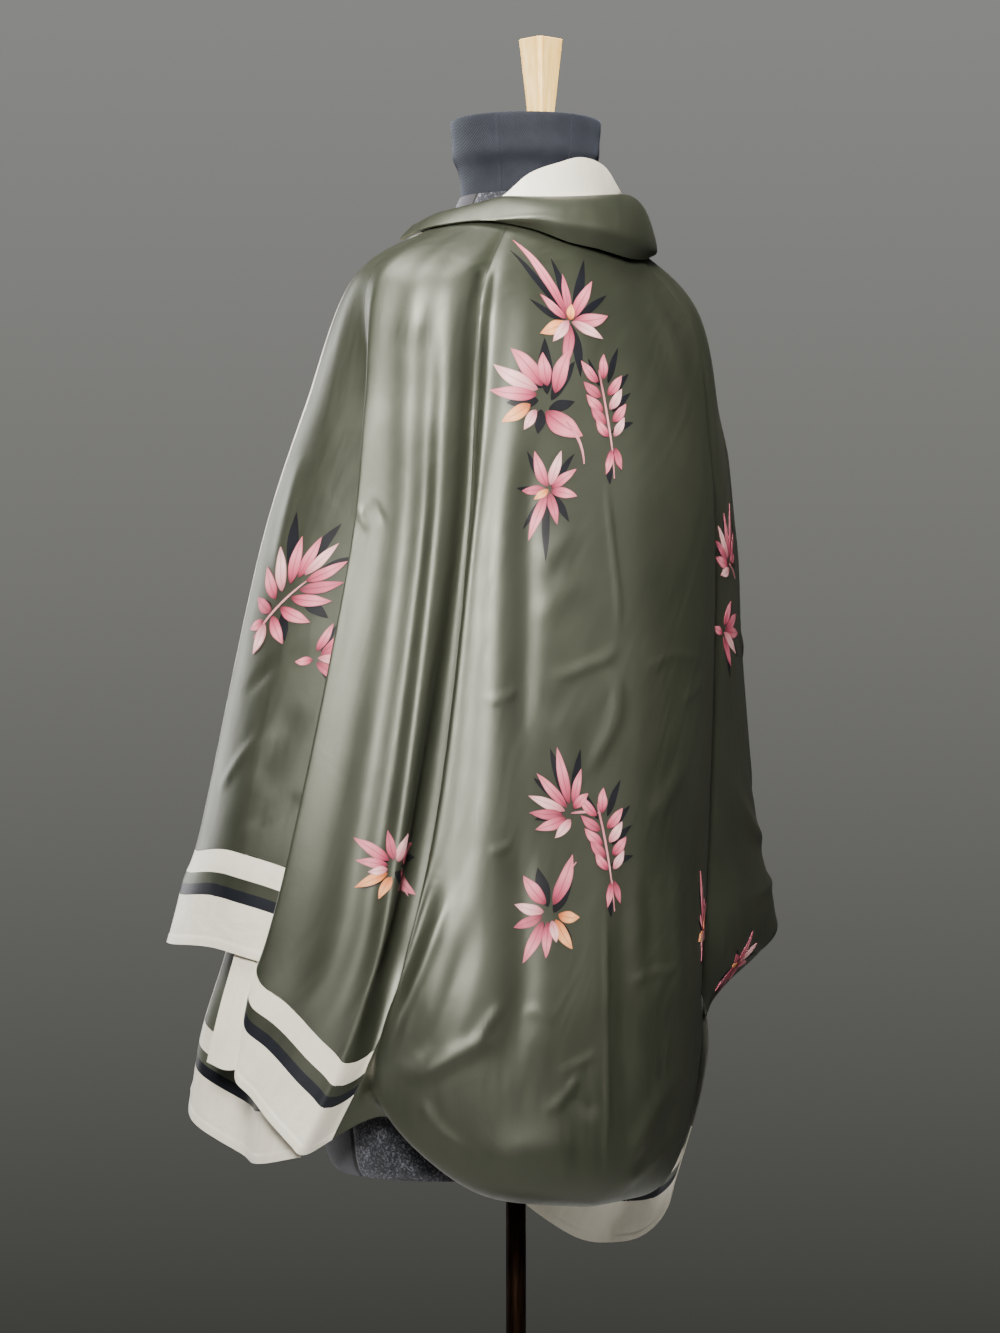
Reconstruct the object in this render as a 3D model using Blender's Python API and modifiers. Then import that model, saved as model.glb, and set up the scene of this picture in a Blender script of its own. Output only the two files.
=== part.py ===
# Evening stole in satin, worn over the shoulders of a limbless dress form on a floor stand.
# Metres, +Z up. The form faces -Y, its left side is +X, and z = 0 is the floor.
# Azimuths turn from the front (0) over the form's left (90) and back (180) to its right (270).
import bpy
import bmesh
import numpy as np

for leftover in list(bpy.data.objects):
    bpy.data.objects.remove(leftover, do_unlink=True)

# Driving sizes
CLOTH = 0.0014          # thickness of the satin with its facing
SEAM = 0.0003           # gap between two pieces at a seam
FOLD_SEAM = 0.0012      # gap down inside a fold and at the bands, measured along the folds
DRAPE_SEAM = 0.0034     # the same at the drape's band, whose seam runs steeply
END_BAND = 0.074        # depth of the striped band sewn to each short end
LONG_BORDER = 0.028     # width of the ivory border along the long edges
CHEST_Z, WAIST_Z = 1.200, 0.970
SHOULDER_STEP = 0.003   # how far the cloth swells between shoulder and chest
POLE_R = 0.0077
BASE_R, BASE_T = 0.150, 0.006
HUB_R, HUB_H = 0.020, 0.034
FORM_BOTTOM = 0.720
NECK_JOIN = 1.458
NECK_LINE_Z = 1.424     # where the worn sheet starts round the neck
NECK_LIFT = 0.0075
FINIAL_Z = (1.5173, 1.5785)
FINIAL_SIDE = (0.0155, 0.0265)
FINIAL_Y, FINIAL_TURN = 0.0255, 84.0
DENSE_U, DENSE_V = 8, 140

# Dress form: height, half width, half depth, y of the centre
FORM = [
    (0.720, 0.1480, 0.1080, -0.014),
    (0.728, 0.1530, 0.1130, -0.014),
    (0.745, 0.1565, 0.1165, -0.014),
    (0.790, 0.1610, 0.1200, -0.014),
    (0.860, 0.1610, 0.1200, -0.012),
    (0.950, 0.1500, 0.1120, -0.008),
    (1.050, 0.1280, 0.0980, -0.004),
    (1.120, 0.1320, 0.1000, -0.003),
    (1.220, 0.1530, 0.1120, -0.004),
    (1.300, 0.1620, 0.1080, -0.002),
    (1.350, 0.1600, 0.0960, 0.000),
    (1.378, 0.1500, 0.0860, 0.001),
    (1.395, 0.1340, 0.0760, 0.002),
    (1.410, 0.1120, 0.0680, 0.004),
    (1.426, 0.0840, 0.0600, 0.006),
    (1.445, 0.0580, 0.0535, 0.008),
    (1.4577, 0.0500, 0.0500, 0.009),
]
# Neck cover: height, half width, half depth, y of the centre
NECK = [
    (1.4580, 0.0490, 0.0490, 0.009),
    (1.4700, 0.0495, 0.0495, 0.009),
    (1.4790, 0.0515, 0.0515, 0.009),
    (1.4880, 0.0560, 0.0560, 0.010),
    (1.5000, 0.0566, 0.0566, 0.010),
    (1.5090, 0.0575, 0.0575, 0.010),
    (1.5140, 0.0575, 0.0575, 0.010),
    (1.5163, 0.0545, 0.0540, 0.010),
    (1.5170, 0.0460, 0.0455, 0.010),
]

# One row per fold of the worn sheet, from the left flap over the back.
# fold, neck azimuth, shoulder (azimuth, reach, height), chest (azimuth, reach),
# waist (azimuth, reach), then hip, turn and end (azimuth, reach, height)
MAIN_FOLDS = [
    ("flap_edge", 94, (75.0, .1450, 1.381), (61.0, .192), (56.0, .2400),
     (54.0, .250, .940), (53.0, .255, .915), (52.5, .260, .895)),
    ("flap_crest", 98, (81.0, .1570, 1.385), (68.0, .207), (62.9, .2525),
     (61.0, .261, .940), (60.0, .266, .915), (59.2, .271, .892)),
    ("flap_slope", 101, (88.0, .1690, 1.385), (80.0, .199), (74.0, .2410),
     (72.5, .245, .940), (72.0, .246, .915), (71.5, .247, .890)),
    ("under_valley", 104, (93.5, .1740, 1.382), (98.0, .172), (88.0, .2030),
     (86.5, .208, .920), (86.0, .210, .890), (85.5, .212, .862)),
    ("drape_front", 108, (98.0, .1760, 1.382), (93.5, .195), (85.8, .2310),
     (81.9, .242, .900), (78.9, .250, .856), (77.9, .256, .805)),
    ("drape_valley_1", 112, (102.5, .1720, 1.378), (99.0, .181), (91.5, .2120),
     (87.5, .2245, .880), (83.5, .2405, .842), (80.5, .2500, .790)),
    ("drape_crest_1", 116, (107.0, .1690, 1.378), (104.5, .177), (97.8, .2060),
     (94.0, .217, .885), (88.0, .2315, .830), (83.0, .2450, .776)),
    ("drape_valley_2", 119, (111.0, .1620, 1.376), (108.0, .1675), (101.5, .1940),
     (97.5, .2050, .880), (91.0, .2235, .822), (85.5, .2395, .763)),
    ("drape_crest_2", 122, (115.0, .1580, 1.376), (111.5, .170), (105.5, .1950),
     (101.5, .204, .880), (94.5, .2165, .815), (88.0, .2350, .753)),
    ("drape_rear", 126, (119.0, .1510, 1.376), (115.4, .160), (107.9, .1860),
     (103.0, .199, .885), (96.5, .214, .810), (89.8, .231, .745)),
    ("pleat", 129, (122.2, .1440, 1.372), (117.8, .149), (110.1, .1730),
     (104.9, .185, .880), (98.5, .192, .812), (90.0, .204, .754)),
    ("left_crest", 132, (125.5, .1450, 1.372), (120.2, .161), (112.2, .1865),
     (106.8, .202, .880), (101.0, .205, .800), (100.5, .184, .776)),
    ("valley_1", 137, (131.0, .1410, 1.368), (123.0, .1580), (117.0, .1805),
     (109.5, .1990, .865), (104.5, .198, .775), (106.0, .177, .757)),
    ("crest_1", 142, (137.0, .1380, 1.364), (128.0, .158), (123.3, .1790),
     (115.0, .200, .845), (110.2, .190, .752), (112.0, .166, .739)),
    ("valley_2", 150, (146.0, .1310, 1.358), (134.0, .1515), (131.0, .1700),
     (124.0, .190, .835), (121.5, .174, .724), (123.0, .124, .707)),
    ("crest_2", 159, (155.0, .1280, 1.353), (141.0, .1475), (140.0, .1620),
     (138.0, .178, .820), (138.0, .167, .714), (139.0, .100, .704)),
    ("valley_3", 166, (162.0, .1240, 1.350), (149.5, .1450), (148.0, .1570),
     (147.0, .172, .825), (147.0, .162, .712), (148.0, .095, .703)),
    ("crease", 172, (168.0, .1220, 1.348), (158.0, .1445), (156.0, .1555),
     (154.5, .168, .850), (154.5, .161, .711), (155.0, .095, .703)),
    ("crest_3", 182, (180.0, .1220, 1.346), (172.0, .146), (169.0, .1560),
     (167.0, .163, .840), (169.0, .151, .713), (169.0, .090, .704)),
    ("crest_4", 194, (194.0, .1240, 1.348), (189.0, .148), (187.0, .1520),
     (186.0, .156, .840), (187.0, .1385, .715), (187.0, .092, .705)),
    ("right_slope", 202, (205.0, .1300, 1.354), (202.0, .152), (200.0, .1500),
     (199.0, .150, .850), (203.0, .139, .757), (203.0, .121, .745)),
    ("right_edge", 207, (212.0, .1360, 1.358), (210.5, .154), (210.3, .1490),
     (210.0, .144, .860), (212.0, .1425, .805), (213.0, .135, .788)),
]
# The right-hand side, from under the back panel round to the front.
# fold, neck azimuth, shoulder, chest, waist, then elbow, tuck, low and hem (azimuth, reach, height)
RIGHT_FOLDS = [
    ("under_back", 210, (207.0, .1240, 1.350), (199.0, .137), (204.0, .1340),
     (213.5, .137, .885), (219.5, .147, .822), (238.0, .152, .775), (266.0, .176, .680)),
    ("slope", 214, (222.0, .1400, 1.366), (228.0, .165), (230.0, .1720),
     (232.0, .178, .889), (236.0, .150, .822), (248.0, .160, .765), (272.0, .186, .655)),
    ("crest", 226, (246.0, .1520, 1.381), (251.0, .193), (250.0, .2170),
     (250.5, .231, .884), (256.0, .178, .826), (262.0, .180, .750), (279.0, .186, .636)),
    ("side_valley", 237, (261.0, .1640, 1.385), (266.0, .192), (264.0, .2100),
     (264.0, .224, .878), (267.0, .186, .822), (272.0, .183, .745), (287.0, .182, .630)),
    ("front_crest", 248, (274.0, .1670, 1.385), (280.0, .203), (280.0, .2340),
     (280.0, .245, .882), (280.0, .206, .825), (284.0, .198, .745), (295.0, .188, .630)),
    ("front_slope", 257, (280.0, .1600, 1.385), (291.0, .197), (292.0, .2300),
     (292.0, .242, .886), (291.0, .212, .830), (293.0, .206, .750), (303.0, .200, .640)),
    ("right_flap_edge", 265, (286.0, .1460, 1.381), (299.0, .184), (301.0, .2220),
     (302.0, .236, .890), (301.0, .215, .835), (302.0, .212, .755), (311.0, .212, .658)),
]
# The inner wing of the left end, from its free edge inwards.
# fold, then top, upper, chest, waist, hip, turn and hem (azimuth, reach, height)
WING_FOLDS = [
    ("wing_edge", (70.0, .160, 1.300), (68.0, .165, 1.250), (63.0, .175, 1.150),
     (55.0, .196, .990), (50.5, .214, .890), (50.0, .235, .825), (49.5, .249, .778)),
    ("wing_crest", (73.0, .165, 1.303), (72.0, .170, 1.250), (68.0, .180, 1.150),
     (61.0, .207, .990), (57.5, .224, .890), (57.5, .243, .825), (57.0, .251, .757)),
    ("wing_valley", (76.5, .167, 1.305), (76.0, .170, 1.250), (74.0, .172, 1.150),
     (69.0, .193, .990), (66.5, .206, .890), (66.5, .214, .825), (66.0, .223, .736)),
    ("wing_crest_2", (80.0, .169, 1.307), (80.0, .171, 1.250), (79.5, .176, 1.150),
     (77.0, .199, .990), (76.0, .211, .890), (76.0, .224, .825), (76.0, .229, .734)),
    ("wing_fold", (84.0, .170, 1.309), (84.5, .170, 1.250), (85.5, .168, 1.150),
     (85.5, .184, .990), (85.0, .196, .890), (85.0, .207, .825), (86.0, .219, .742)),
]
# The ivory underlap between flap and drape. fold, then five stations (azimuth, reach, height)
UNDER_FOLDS = [
    ("under_hidden", (82.0, .205, .985), (81.0, .211, .945), (79.5, .219, .895),
     (78.0, .230, .850), (77.0, .240, .806)),
    ("under_mid", (78.0, .212, .985), (77.0, .219, .945), (75.5, .228, .895),
     (74.5, .240, .850), (73.5, .250, .803)),
    ("under_edge", (74.0, .219, .985), (73.0, .226, .945), (72.0, .237, .895),
     (71.0, .249, .850), (70.0, .258, .808)),
]
# The rolled collar. azimuth, then foot, crest, outer, edge and tuck (reach, height)
COLLAR_ROLL = [
    (88, (.1060, 1.4275), (.1100, 1.4290), (.1165, 1.4245), (.1245, 1.4172), (.1215, 1.4174)),
    (96, (.0960, 1.4330), (.1005, 1.4370), (.1085, 1.4340), (.1195, 1.4237), (.1165, 1.4249)),
    (104, (.0885, 1.4360), (.0930, 1.4405), (.1020, 1.4390), (.1155, 1.4268), (.1125, 1.4278)),
    (114, (.0815, 1.4385), (.0855, 1.4445), (.0955, 1.4435), (.1095, 1.4292), (.1065, 1.4307)),
    (125, (.0780, 1.4385), (.0810, 1.4485), (.0905, 1.4480), (.1060, 1.4300), (.1020, 1.4288)),
    (140, (.0755, 1.4390), (.0785, 1.4490), (.0900, 1.4480), (.1050, 1.4310), (.0995, 1.4235)),
    (155, (.0750, 1.4370), (.0780, 1.4500), (.0905, 1.4475), (.1060, 1.4270), (.0995, 1.4150)),
    (170, (.0750, 1.4350), (.0790, 1.4515), (.0920, 1.4485), (.1070, 1.4240), (.0990, 1.4115)),
    (190, (.0770, 1.4360), (.0820, 1.4550), (.0950, 1.4505), (.1072, 1.4200), (.0995, 1.4075)),
    (208, (.0810, 1.4380), (.0860, 1.4575), (.0970, 1.4520), (.1072, 1.4160), (.1005, 1.4095)),
    (228, (.0870, 1.4390), (.0920, 1.4550), (.1000, 1.4490), (.1090, 1.4190), (.1045, 1.4162)),
    (250, (.0970, 1.4380), (.1020, 1.4470), (.1090, 1.4440), (.1170, 1.4235), (.1130, 1.4205)),
    (266, (.1060, 1.4330), (.1100, 1.4400), (.1170, 1.4375), (.1240, 1.4235), (.1200, 1.4190)),
]
# The ivory border that stands up behind the neck. azimuth, then foot, middle and top (reach, height)
NECK_BORDER = [
    (97, (.0915, 1.4325), (.0915, 1.4360), (.0915, 1.4390)),
    (108, (.0815, 1.4385), (.0812, 1.4420), (.0810, 1.4450)),
    (122, (.0735, 1.4420), (.0725, 1.4465), (.0718, 1.4505)),
    (140, (.0715, 1.4430), (.0700, 1.4560), (.0690, 1.4690)),
    (160, (.0710, 1.4430), (.0700, 1.4600), (.0700, 1.4785)),
    (176, (.0715, 1.4430), (.0705, 1.4620), (.0715, 1.4835)),
    (195, (.0725, 1.4440), (.0725, 1.4600), (.0745, 1.4795)),
    (212, (.0755, 1.4450), (.0765, 1.4560), (.0790, 1.4660)),
    (228, (.0805, 1.4460), (.0825, 1.4530), (.0850, 1.4590)),
]
MAIN_KNOTS = (0, .14, .27, .42, .66, .80, .92, 1)
RIGHT_KNOTS = (0, .12, .23, .36, .56, .67, .76, .86, 1)
WING_KNOTS = (0, .10, .28, .55, .72, .85, 1)
LEFT_UNDER, LEFT_PLEAT, LAST = 3, 10, 21    # rows of MAIN_FOLDS where the pieces meet

collection = bpy.data.collections.new("evening_stole")
bpy.context.scene.collection.children.link(collection)


def material(name, colour, roughness, metallic=0.0):
    made = bpy.data.materials.new(name)
    made.use_nodes = True
    shader = made.node_tree.nodes["Principled BSDF"]
    shader.inputs["Base Color"].default_value = (*colour, 1)
    shader.inputs["Roughness"].default_value = roughness
    shader.inputs["Metallic"].default_value = metallic
    return made


SATIN = material("satin", (0.125, 0.128, 0.098), 0.35)
IVORY = material("ivory_band", (0.78, 0.75, 0.68), 0.55)
WOOL = material("form_cloth", (0.045, 0.045, 0.048), 0.90)
DENIM = material("neck_cloth", (0.018, 0.020, 0.028), 0.85)
WOOD = material("pale_wood", (0.76, 0.62, 0.40), 0.50)
BRONZE = material("pole_bronze", (0.055, 0.038, 0.028), 0.35, 1.0)
STEEL = material("base_steel", (0.050, 0.045, 0.042), 0.40, 1.0)


def polar(azimuth, reach, height):
    turn = np.radians(azimuth)
    return np.stack([reach * np.sin(turn), -reach * np.cos(turn), height + 0 * turn], -1)


def cubic(knots, values, x):
    """Cubic through unevenly spaced knots, along the first axis of values."""
    knots, values = np.asarray(knots, float), np.asarray(values, float)
    wide = (-1,) + (1,) * (values.ndim - 1)
    step = np.diff(knots).reshape(wide)
    rise = np.diff(values, axis=0) / step
    slope = np.concatenate([
        rise[:1],
        (rise[:-1] * step[1:] + rise[1:] * step[:-1]) / (step[:-1] + step[1:]),
        rise[-1:],
    ])
    k = np.clip(np.searchsorted(knots, x, side="right") - 1, 0, len(knots) - 2)
    h = step[k]
    t = (np.asarray(x) - knots[k]).reshape(wide) / h
    return ((2 * t**3 - 3 * t**2 + 1) * values[k] + (t**3 - 2 * t**2 + t) * h * slope[k]
            + (3 * t**2 - 2 * t**3) * values[k + 1] + (t**3 - t**2) * h * slope[k + 1])


def fold_line(row):
    """Points down one fold of the worn sheet, from the neck to its end."""
    name, neck_az, shoulder, chest, waist, *rest = row
    lift = NECK_LIFT * np.exp(-((neck_az - 140) / 45) ** 4)     # highest behind the left shoulder
    neck = (neck_az, 0.084 + 0.026 * abs(np.sin(np.radians(neck_az))) ** 4, NECK_LINE_Z + lift)
    upper = ((shoulder[0] + chest[0]) / 2, (shoulder[1] + chest[1]) / 2 + SHOULDER_STEP,
             (shoulder[2] + CHEST_Z) / 2)
    stations = [neck, shoulder, upper, (*chest, CHEST_Z), (*waist, WAIST_Z), *rest]
    return polar(*np.array(stations, float).T)


def plain_lines(rows):
    stations = np.array([row[1:] for row in rows], float)
    return polar(stations[..., 0], stations[..., 1], stations[..., 2])


def ring_lines(rows):
    stations = np.array([row[1:] for row in rows], float)
    azimuth = np.array([row[0] for row in rows], float)[:, None]
    return polar(azimuth + 0 * stations[..., 0], stations[..., 0], stations[..., 1])


class Sheet:
    """A smooth surface through fold lines, sampled densely, with its outward normals."""

    def __init__(self, lines, knots=None):
        lines = np.asarray(lines, float)
        count, stations = lines.shape[:2]
        knots = np.linspace(0, 1, stations) if knots is None else knots
        along = cubic(knots, lines.swapaxes(0, 1), np.linspace(0, 1, DENSE_V)).swapaxes(0, 1)
        self.u = np.linspace(0, count - 1, (count - 1) * DENSE_U + 1)
        self.v = np.linspace(0, 1, DENSE_V)
        self.points = cubic(np.arange(count), along, self.u)
        normals = np.cross(np.gradient(self.points, axis=1), np.gradient(self.points, axis=0))
        length = np.linalg.norm(normals, axis=-1, keepdims=True)
        self.normals = normals / np.maximum(length, 1e-12)
        step = np.linalg.norm(np.diff(self.points, axis=1), axis=-1)
        self.down = np.pad(np.cumsum(step, axis=1), ((0, 0), (1, 0)))
        step = np.linalg.norm(np.diff(self.points, axis=0), axis=-1)
        self.across = np.pad(np.cumsum(step, axis=0), ((1, 0), (0, 0)))

    def from_end(self, distance):
        """v, for each dense column, this far from the sheet's lower end."""
        return np.array([np.interp(row[-1] - distance, row, self.v) for row in self.down])

    def from_side(self, width, offset, stop, last=False):
        """u, for each dense row, this far from a side, or half way to fold stop where there is less room."""
        side = self.across[-1 if last else 0]
        room = abs(self.across[stop * DENSE_U] - side)
        reach = side + (-1 if last else 1) * (np.minimum(width, room / 2) + offset)
        return np.array([np.interp(r, row, self.u) for r, row in zip(reach, self.across.T)])

    def beside(self, fold, distance):
        """u, for each dense row, this far past a fold."""
        reach = self.across[fold * DENSE_U] + distance
        return np.array([np.interp(x, row, self.u) for x, row in zip(reach, self.across.T)])

    def at(self, grid, u, v):
        i = np.clip(u * DENSE_U, 0, len(self.u) - 1.000001)
        j = np.clip(v * (DENSE_V - 1), 0, DENSE_V - 1.000001)
        a, b = i.astype(int), j.astype(int)
        s, t = (i - a)[..., None], (j - b)[..., None]
        return ((1 - s) * (1 - t) * grid[a, b] + s * (1 - t) * grid[a + 1, b]
                + (1 - s) * t * grid[a, b + 1] + s * t * grid[a + 1, b + 1])

    def cut(self, u_low, u_high, v_low, v_high, columns, rows, levels=None):
        """Points and normals between two sides (a number, or u per row) and two ends (v per column)."""
        s = np.linspace(0, 1, columns + 1)[:, None]
        t = np.linspace(0, 1, rows + 1)[None, :] if levels is None else levels[None, :]
        u, v = s + 0 * t, 0 * s + t

        def side(value, v_now):
            return value if np.isscalar(value) else np.interp(v_now, self.v, value)

        def end(value, u_now):
            return value if np.isscalar(value) else np.interp(u_now, self.u, value)

        for _ in range(8):
            u = side(u_low, v) + (side(u_high, v) - side(u_low, v)) * s
            v = end(v_low, u) + (end(v_high, u) - end(v_low, u)) * t
        normals = self.at(self.normals, u, v)
        normals /= np.linalg.norm(normals, axis=-1, keepdims=True)
        return self.at(self.points, u, v), normals


def add_mesh(name, points, faces, surface):
    mesh = bpy.data.meshes.new(name)
    mesh.from_pydata([tuple(p) for p in points], [], faces)
    work = bmesh.new()
    work.from_mesh(mesh)
    bmesh.ops.recalc_face_normals(work, faces=work.faces)
    if work.calc_volume(signed=True) < 0:
        bmesh.ops.reverse_faces(work, faces=work.faces)
    work.to_mesh(mesh)
    work.free()
    mesh.update()
    mesh.materials.append(surface)
    made = bpy.data.objects.new(name, mesh)
    collection.objects.link(made)
    return made


def add_shell(name, patch, surface, thickness=CLOTH):
    """A closed wall of even thickness on a grid of points and normals."""
    points, normals = patch
    columns, rows = points.shape[:2]
    outer = points + normals * thickness / 2
    inner = points - normals * thickness / 2
    both = np.concatenate([outer.reshape(-1, 3), inner.reshape(-1, 3)])
    total = columns * rows
    faces = []
    for i in range(columns - 1):
        for j in range(rows - 1):
            a, b = i * rows + j, (i + 1) * rows + j
            faces.append((a, b, b + 1, a + 1))
            faces.append((a + total + 1, b + total + 1, b + total, a + total))
    rim = [(i, 0) for i in range(columns)] + [(columns - 1, j) for j in range(1, rows)]
    rim += [(i, rows - 1) for i in range(columns - 2, -1, -1)] + [(0, j) for j in range(rows - 2, 0, -1)]
    rim = [i * rows + j for i, j in rim]
    for a, b in zip(rim, rim[1:] + rim[:1]):
        faces.append((b, a, a + total, b + total))
    return add_mesh(name, both, faces, surface)


def add_loft(name, rows, surface, around=40, between=1):
    """A closed body through level oval rings."""
    table = np.array(rows, float)
    heights = np.interp(np.arange((len(table) - 1) * between + 1) / between,
                        np.arange(len(table)), table[:, 0])
    smooth = cubic(table[:, 0], table[:, 1:], heights)
    turn = np.linspace(0, 2 * np.pi, around, endpoint=False)
    points = np.stack([smooth[:, :1] * np.sin(turn), smooth[:, 2:] - smooth[:, 1:2] * np.cos(turn),
                       heights[:, None] + 0 * turn], -1).reshape(-1, 3)
    faces = [tuple(range(around - 1, -1, -1)),
             tuple((len(heights) - 1) * around + i for i in range(around))]
    for j in range(len(heights) - 1):
        for i in range(around):
            k = (i + 1) % around
            faces.append((j * around + i, j * around + k, (j + 1) * around + k, (j + 1) * around + i))
    return add_mesh(name, points, faces, surface)


def add_lathe(name, profile, surface, steps=48):
    """A body of revolution about Z through (radius, height) points that start and end on the axis."""
    mesh = bpy.data.meshes.new(name)
    edges = [(i, i + 1) for i in range(len(profile) - 1)]
    mesh.from_pydata([(r, 0, z) for r, z in profile], edges, [])
    mesh.materials.append(surface)
    made = bpy.data.objects.new(name, mesh)
    collection.objects.link(made)
    screw = made.modifiers.new("turn", "SCREW")
    screw.axis, screw.angle = "Z", 2 * np.pi
    screw.steps = screw.render_steps = steps
    screw.use_merge_vertices, screw.merge_threshold = True, 0.0001
    screw.use_normal_flip = True
    return made


# Stand
add_lathe("base", [(0, 0), (BASE_R - .001, 0), (BASE_R, .001), (BASE_R, BASE_T - .002),
                   (BASE_R - .002, BASE_T), (HUB_R + .004, BASE_T), (HUB_R, BASE_T + .004),
                   (HUB_R, HUB_H - .002), (HUB_R - .002, HUB_H), (0, HUB_H)], STEEL)
add_lathe("pole", [(0, HUB_H + SEAM), (POLE_R, HUB_H + SEAM), (POLE_R, FORM_BOTTOM - SEAM),
                   (0, FORM_BOTTOM - SEAM)], BRONZE, 32)

# Dress form
add_loft("form_body", FORM, WOOL, 36, 2)
add_loft("form_neck", NECK, DENIM, 40, 1)
half = np.array(FINIAL_SIDE) / 2
corner = np.array([(-1, -.78), (-.78, -1), (.78, -1), (1, -.78), (1, .78), (.78, 1), (-.78, 1), (-1, .78)])
turn = np.radians(FINIAL_TURN)
spin = np.array([[np.cos(turn), np.sin(turn)], [-np.sin(turn), np.cos(turn)]])
rings = [np.column_stack([corner @ spin * size + (0, FINIAL_Y), np.full(8, z)])
         for size, z in zip(half, FINIAL_Z)]
sides = [(i, (i + 1) % 8, 8 + (i + 1) % 8, 8 + i) for i in range(8)]
add_mesh("finial", np.concatenate(rings), [tuple(range(7, -1, -1)), tuple(range(8, 16)), *sides], WOOD)

# Worn sheet: left flap, left drape and back panel are one smooth surface cut at its folds
main = Sheet([fold_line(row) for row in MAIN_FOLDS], MAIN_KNOTS)
gap, slant = SEAM / 2, FOLD_SEAM / 2
border_in, border_out = main.from_side(LONG_BORDER, -gap, 3), main.from_side(LONG_BORDER, gap, 3)
band_in, band_out = main.from_end(END_BAND - slant), main.from_end(END_BAND + slant)
flap_end, drape_start = main.beside(LEFT_UNDER, -slant), main.beside(LEFT_UNDER, slant)
drape_end, back_start = main.beside(LEFT_PLEAT, -slant), main.beside(LEFT_PLEAT, slant)
add_shell("left_flap_border", main.cut(0, border_in, 0, band_out, 1, 17), IVORY)
add_shell("left_flap", main.cut(border_out, flap_end, 0, band_out, 7, 17), SATIN)
add_shell("left_flap_band", main.cut(0, flap_end, band_in, 1, 8, 3), IVORY)
steep_in, steep_out = main.from_end(END_BAND - DRAPE_SEAM / 2), main.from_end(END_BAND + DRAPE_SEAM / 2)
add_shell("left_drape", main.cut(drape_start, drape_end, 0, steep_out, 21, 17), SATIN)
add_shell("left_drape_band", main.cut(drape_start, drape_end, steep_in, 1, 21, 3), IVORY)
pleat_band = float(np.interp(LEFT_PLEAT, main.u, band_out))
levels = np.concatenate([np.linspace(0, pleat_band, 18), np.linspace(pleat_band, 1, 7)[1:]])
add_shell("back_panel", main.cut(back_start, LAST, 0, 1, 31, 0, levels), SATIN)

under = Sheet(plain_lines(UNDER_FOLDS))
add_shell("left_underlap", under.cut(0, 2, 0, 1, 4, 8), IVORY)

wing = Sheet(plain_lines(WING_FOLDS), WING_KNOTS)
border_in, border_out = wing.from_side(LONG_BORDER, -gap, 4), wing.from_side(LONG_BORDER, gap, 4)
band_in, band_out = wing.from_end(END_BAND - slant), wing.from_end(END_BAND + slant)
add_shell("left_wing_border", wing.cut(0, border_in, 0, band_out, 1, 14), IVORY)
add_shell("left_wing", wing.cut(border_out, 4, 0, band_out, 8, 14), SATIN)
add_shell("left_wing_band", wing.cut(0, 4, band_in, 1, 9, 3), IVORY)

right = Sheet([fold_line(row) for row in RIGHT_FOLDS], RIGHT_KNOTS)
border_in = right.from_side(LONG_BORDER, -slant, 3, last=True)
border_out = right.from_side(LONG_BORDER, slant, 3, last=True)
band_in, band_out = right.from_end(END_BAND - slant), right.from_end(END_BAND + slant)
add_shell("right_side", right.cut(0, border_out, 0, band_out, 14, 22), SATIN)
add_shell("right_side_border", right.cut(border_in, 6, 0, band_out, 1, 22), IVORY)
add_shell("right_side_band", right.cut(0, 6, band_in, 1, 15, 3), IVORY)

collar = Sheet(ring_lines(COLLAR_ROLL), (0, .20, .42, .80, 1))
add_shell("collar_roll", collar.cut(0, len(COLLAR_ROLL) - 1, 0, 1, 24, 8), SATIN)
border = Sheet(ring_lines(NECK_BORDER))
add_shell("neck_border", border.cut(0, len(NECK_BORDER) - 1, 0, 1, 16, 3), IVORY)
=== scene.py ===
import bpy
import numpy as np
from math import radians, pi
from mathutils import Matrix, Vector


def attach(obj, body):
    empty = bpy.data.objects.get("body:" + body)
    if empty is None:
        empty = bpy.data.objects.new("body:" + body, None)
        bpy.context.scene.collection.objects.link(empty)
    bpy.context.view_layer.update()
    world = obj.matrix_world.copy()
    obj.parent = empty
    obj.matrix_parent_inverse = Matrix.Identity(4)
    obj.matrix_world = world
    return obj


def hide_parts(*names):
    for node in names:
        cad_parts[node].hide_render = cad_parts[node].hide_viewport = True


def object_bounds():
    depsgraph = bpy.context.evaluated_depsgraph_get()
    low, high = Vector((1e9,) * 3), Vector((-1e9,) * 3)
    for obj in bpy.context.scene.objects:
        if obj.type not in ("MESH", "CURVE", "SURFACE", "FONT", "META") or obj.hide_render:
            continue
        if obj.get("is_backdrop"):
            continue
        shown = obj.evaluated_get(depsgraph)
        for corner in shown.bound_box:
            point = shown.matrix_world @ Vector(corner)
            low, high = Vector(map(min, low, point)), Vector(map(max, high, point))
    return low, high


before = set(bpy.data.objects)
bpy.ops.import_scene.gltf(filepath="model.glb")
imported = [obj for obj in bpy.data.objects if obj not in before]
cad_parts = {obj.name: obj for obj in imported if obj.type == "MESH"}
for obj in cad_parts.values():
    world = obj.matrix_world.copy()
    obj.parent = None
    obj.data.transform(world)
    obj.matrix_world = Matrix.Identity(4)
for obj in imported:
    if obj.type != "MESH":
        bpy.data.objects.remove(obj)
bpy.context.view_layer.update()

# Evening stole in painted duchess satin, worn on a limbless dress form.
# Metres, +Z up; the form faces -Y. Azimuth 0 is the front, 90 the form's left, 180 its back.

# Shared helpers


def linear(code):
    # sRGB hex to linear: each channel / 12.92 near black, ((c + .055) / 1.055) ^ 2.4 above
    c = np.array([int(code[i:i + 2], 16) for i in (1, 3, 5)]) / 255
    return (*np.where(c <= .04045, c / 12.92, ((c + .055) / 1.055) ** 2.4), 1)


def smooth(x):
    # 0 below 0, 1 above 1, and 3x^2 - 2x^3 between
    x = np.clip(x, 0, 1)
    return x * x * (3 - 2 * x)


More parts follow.
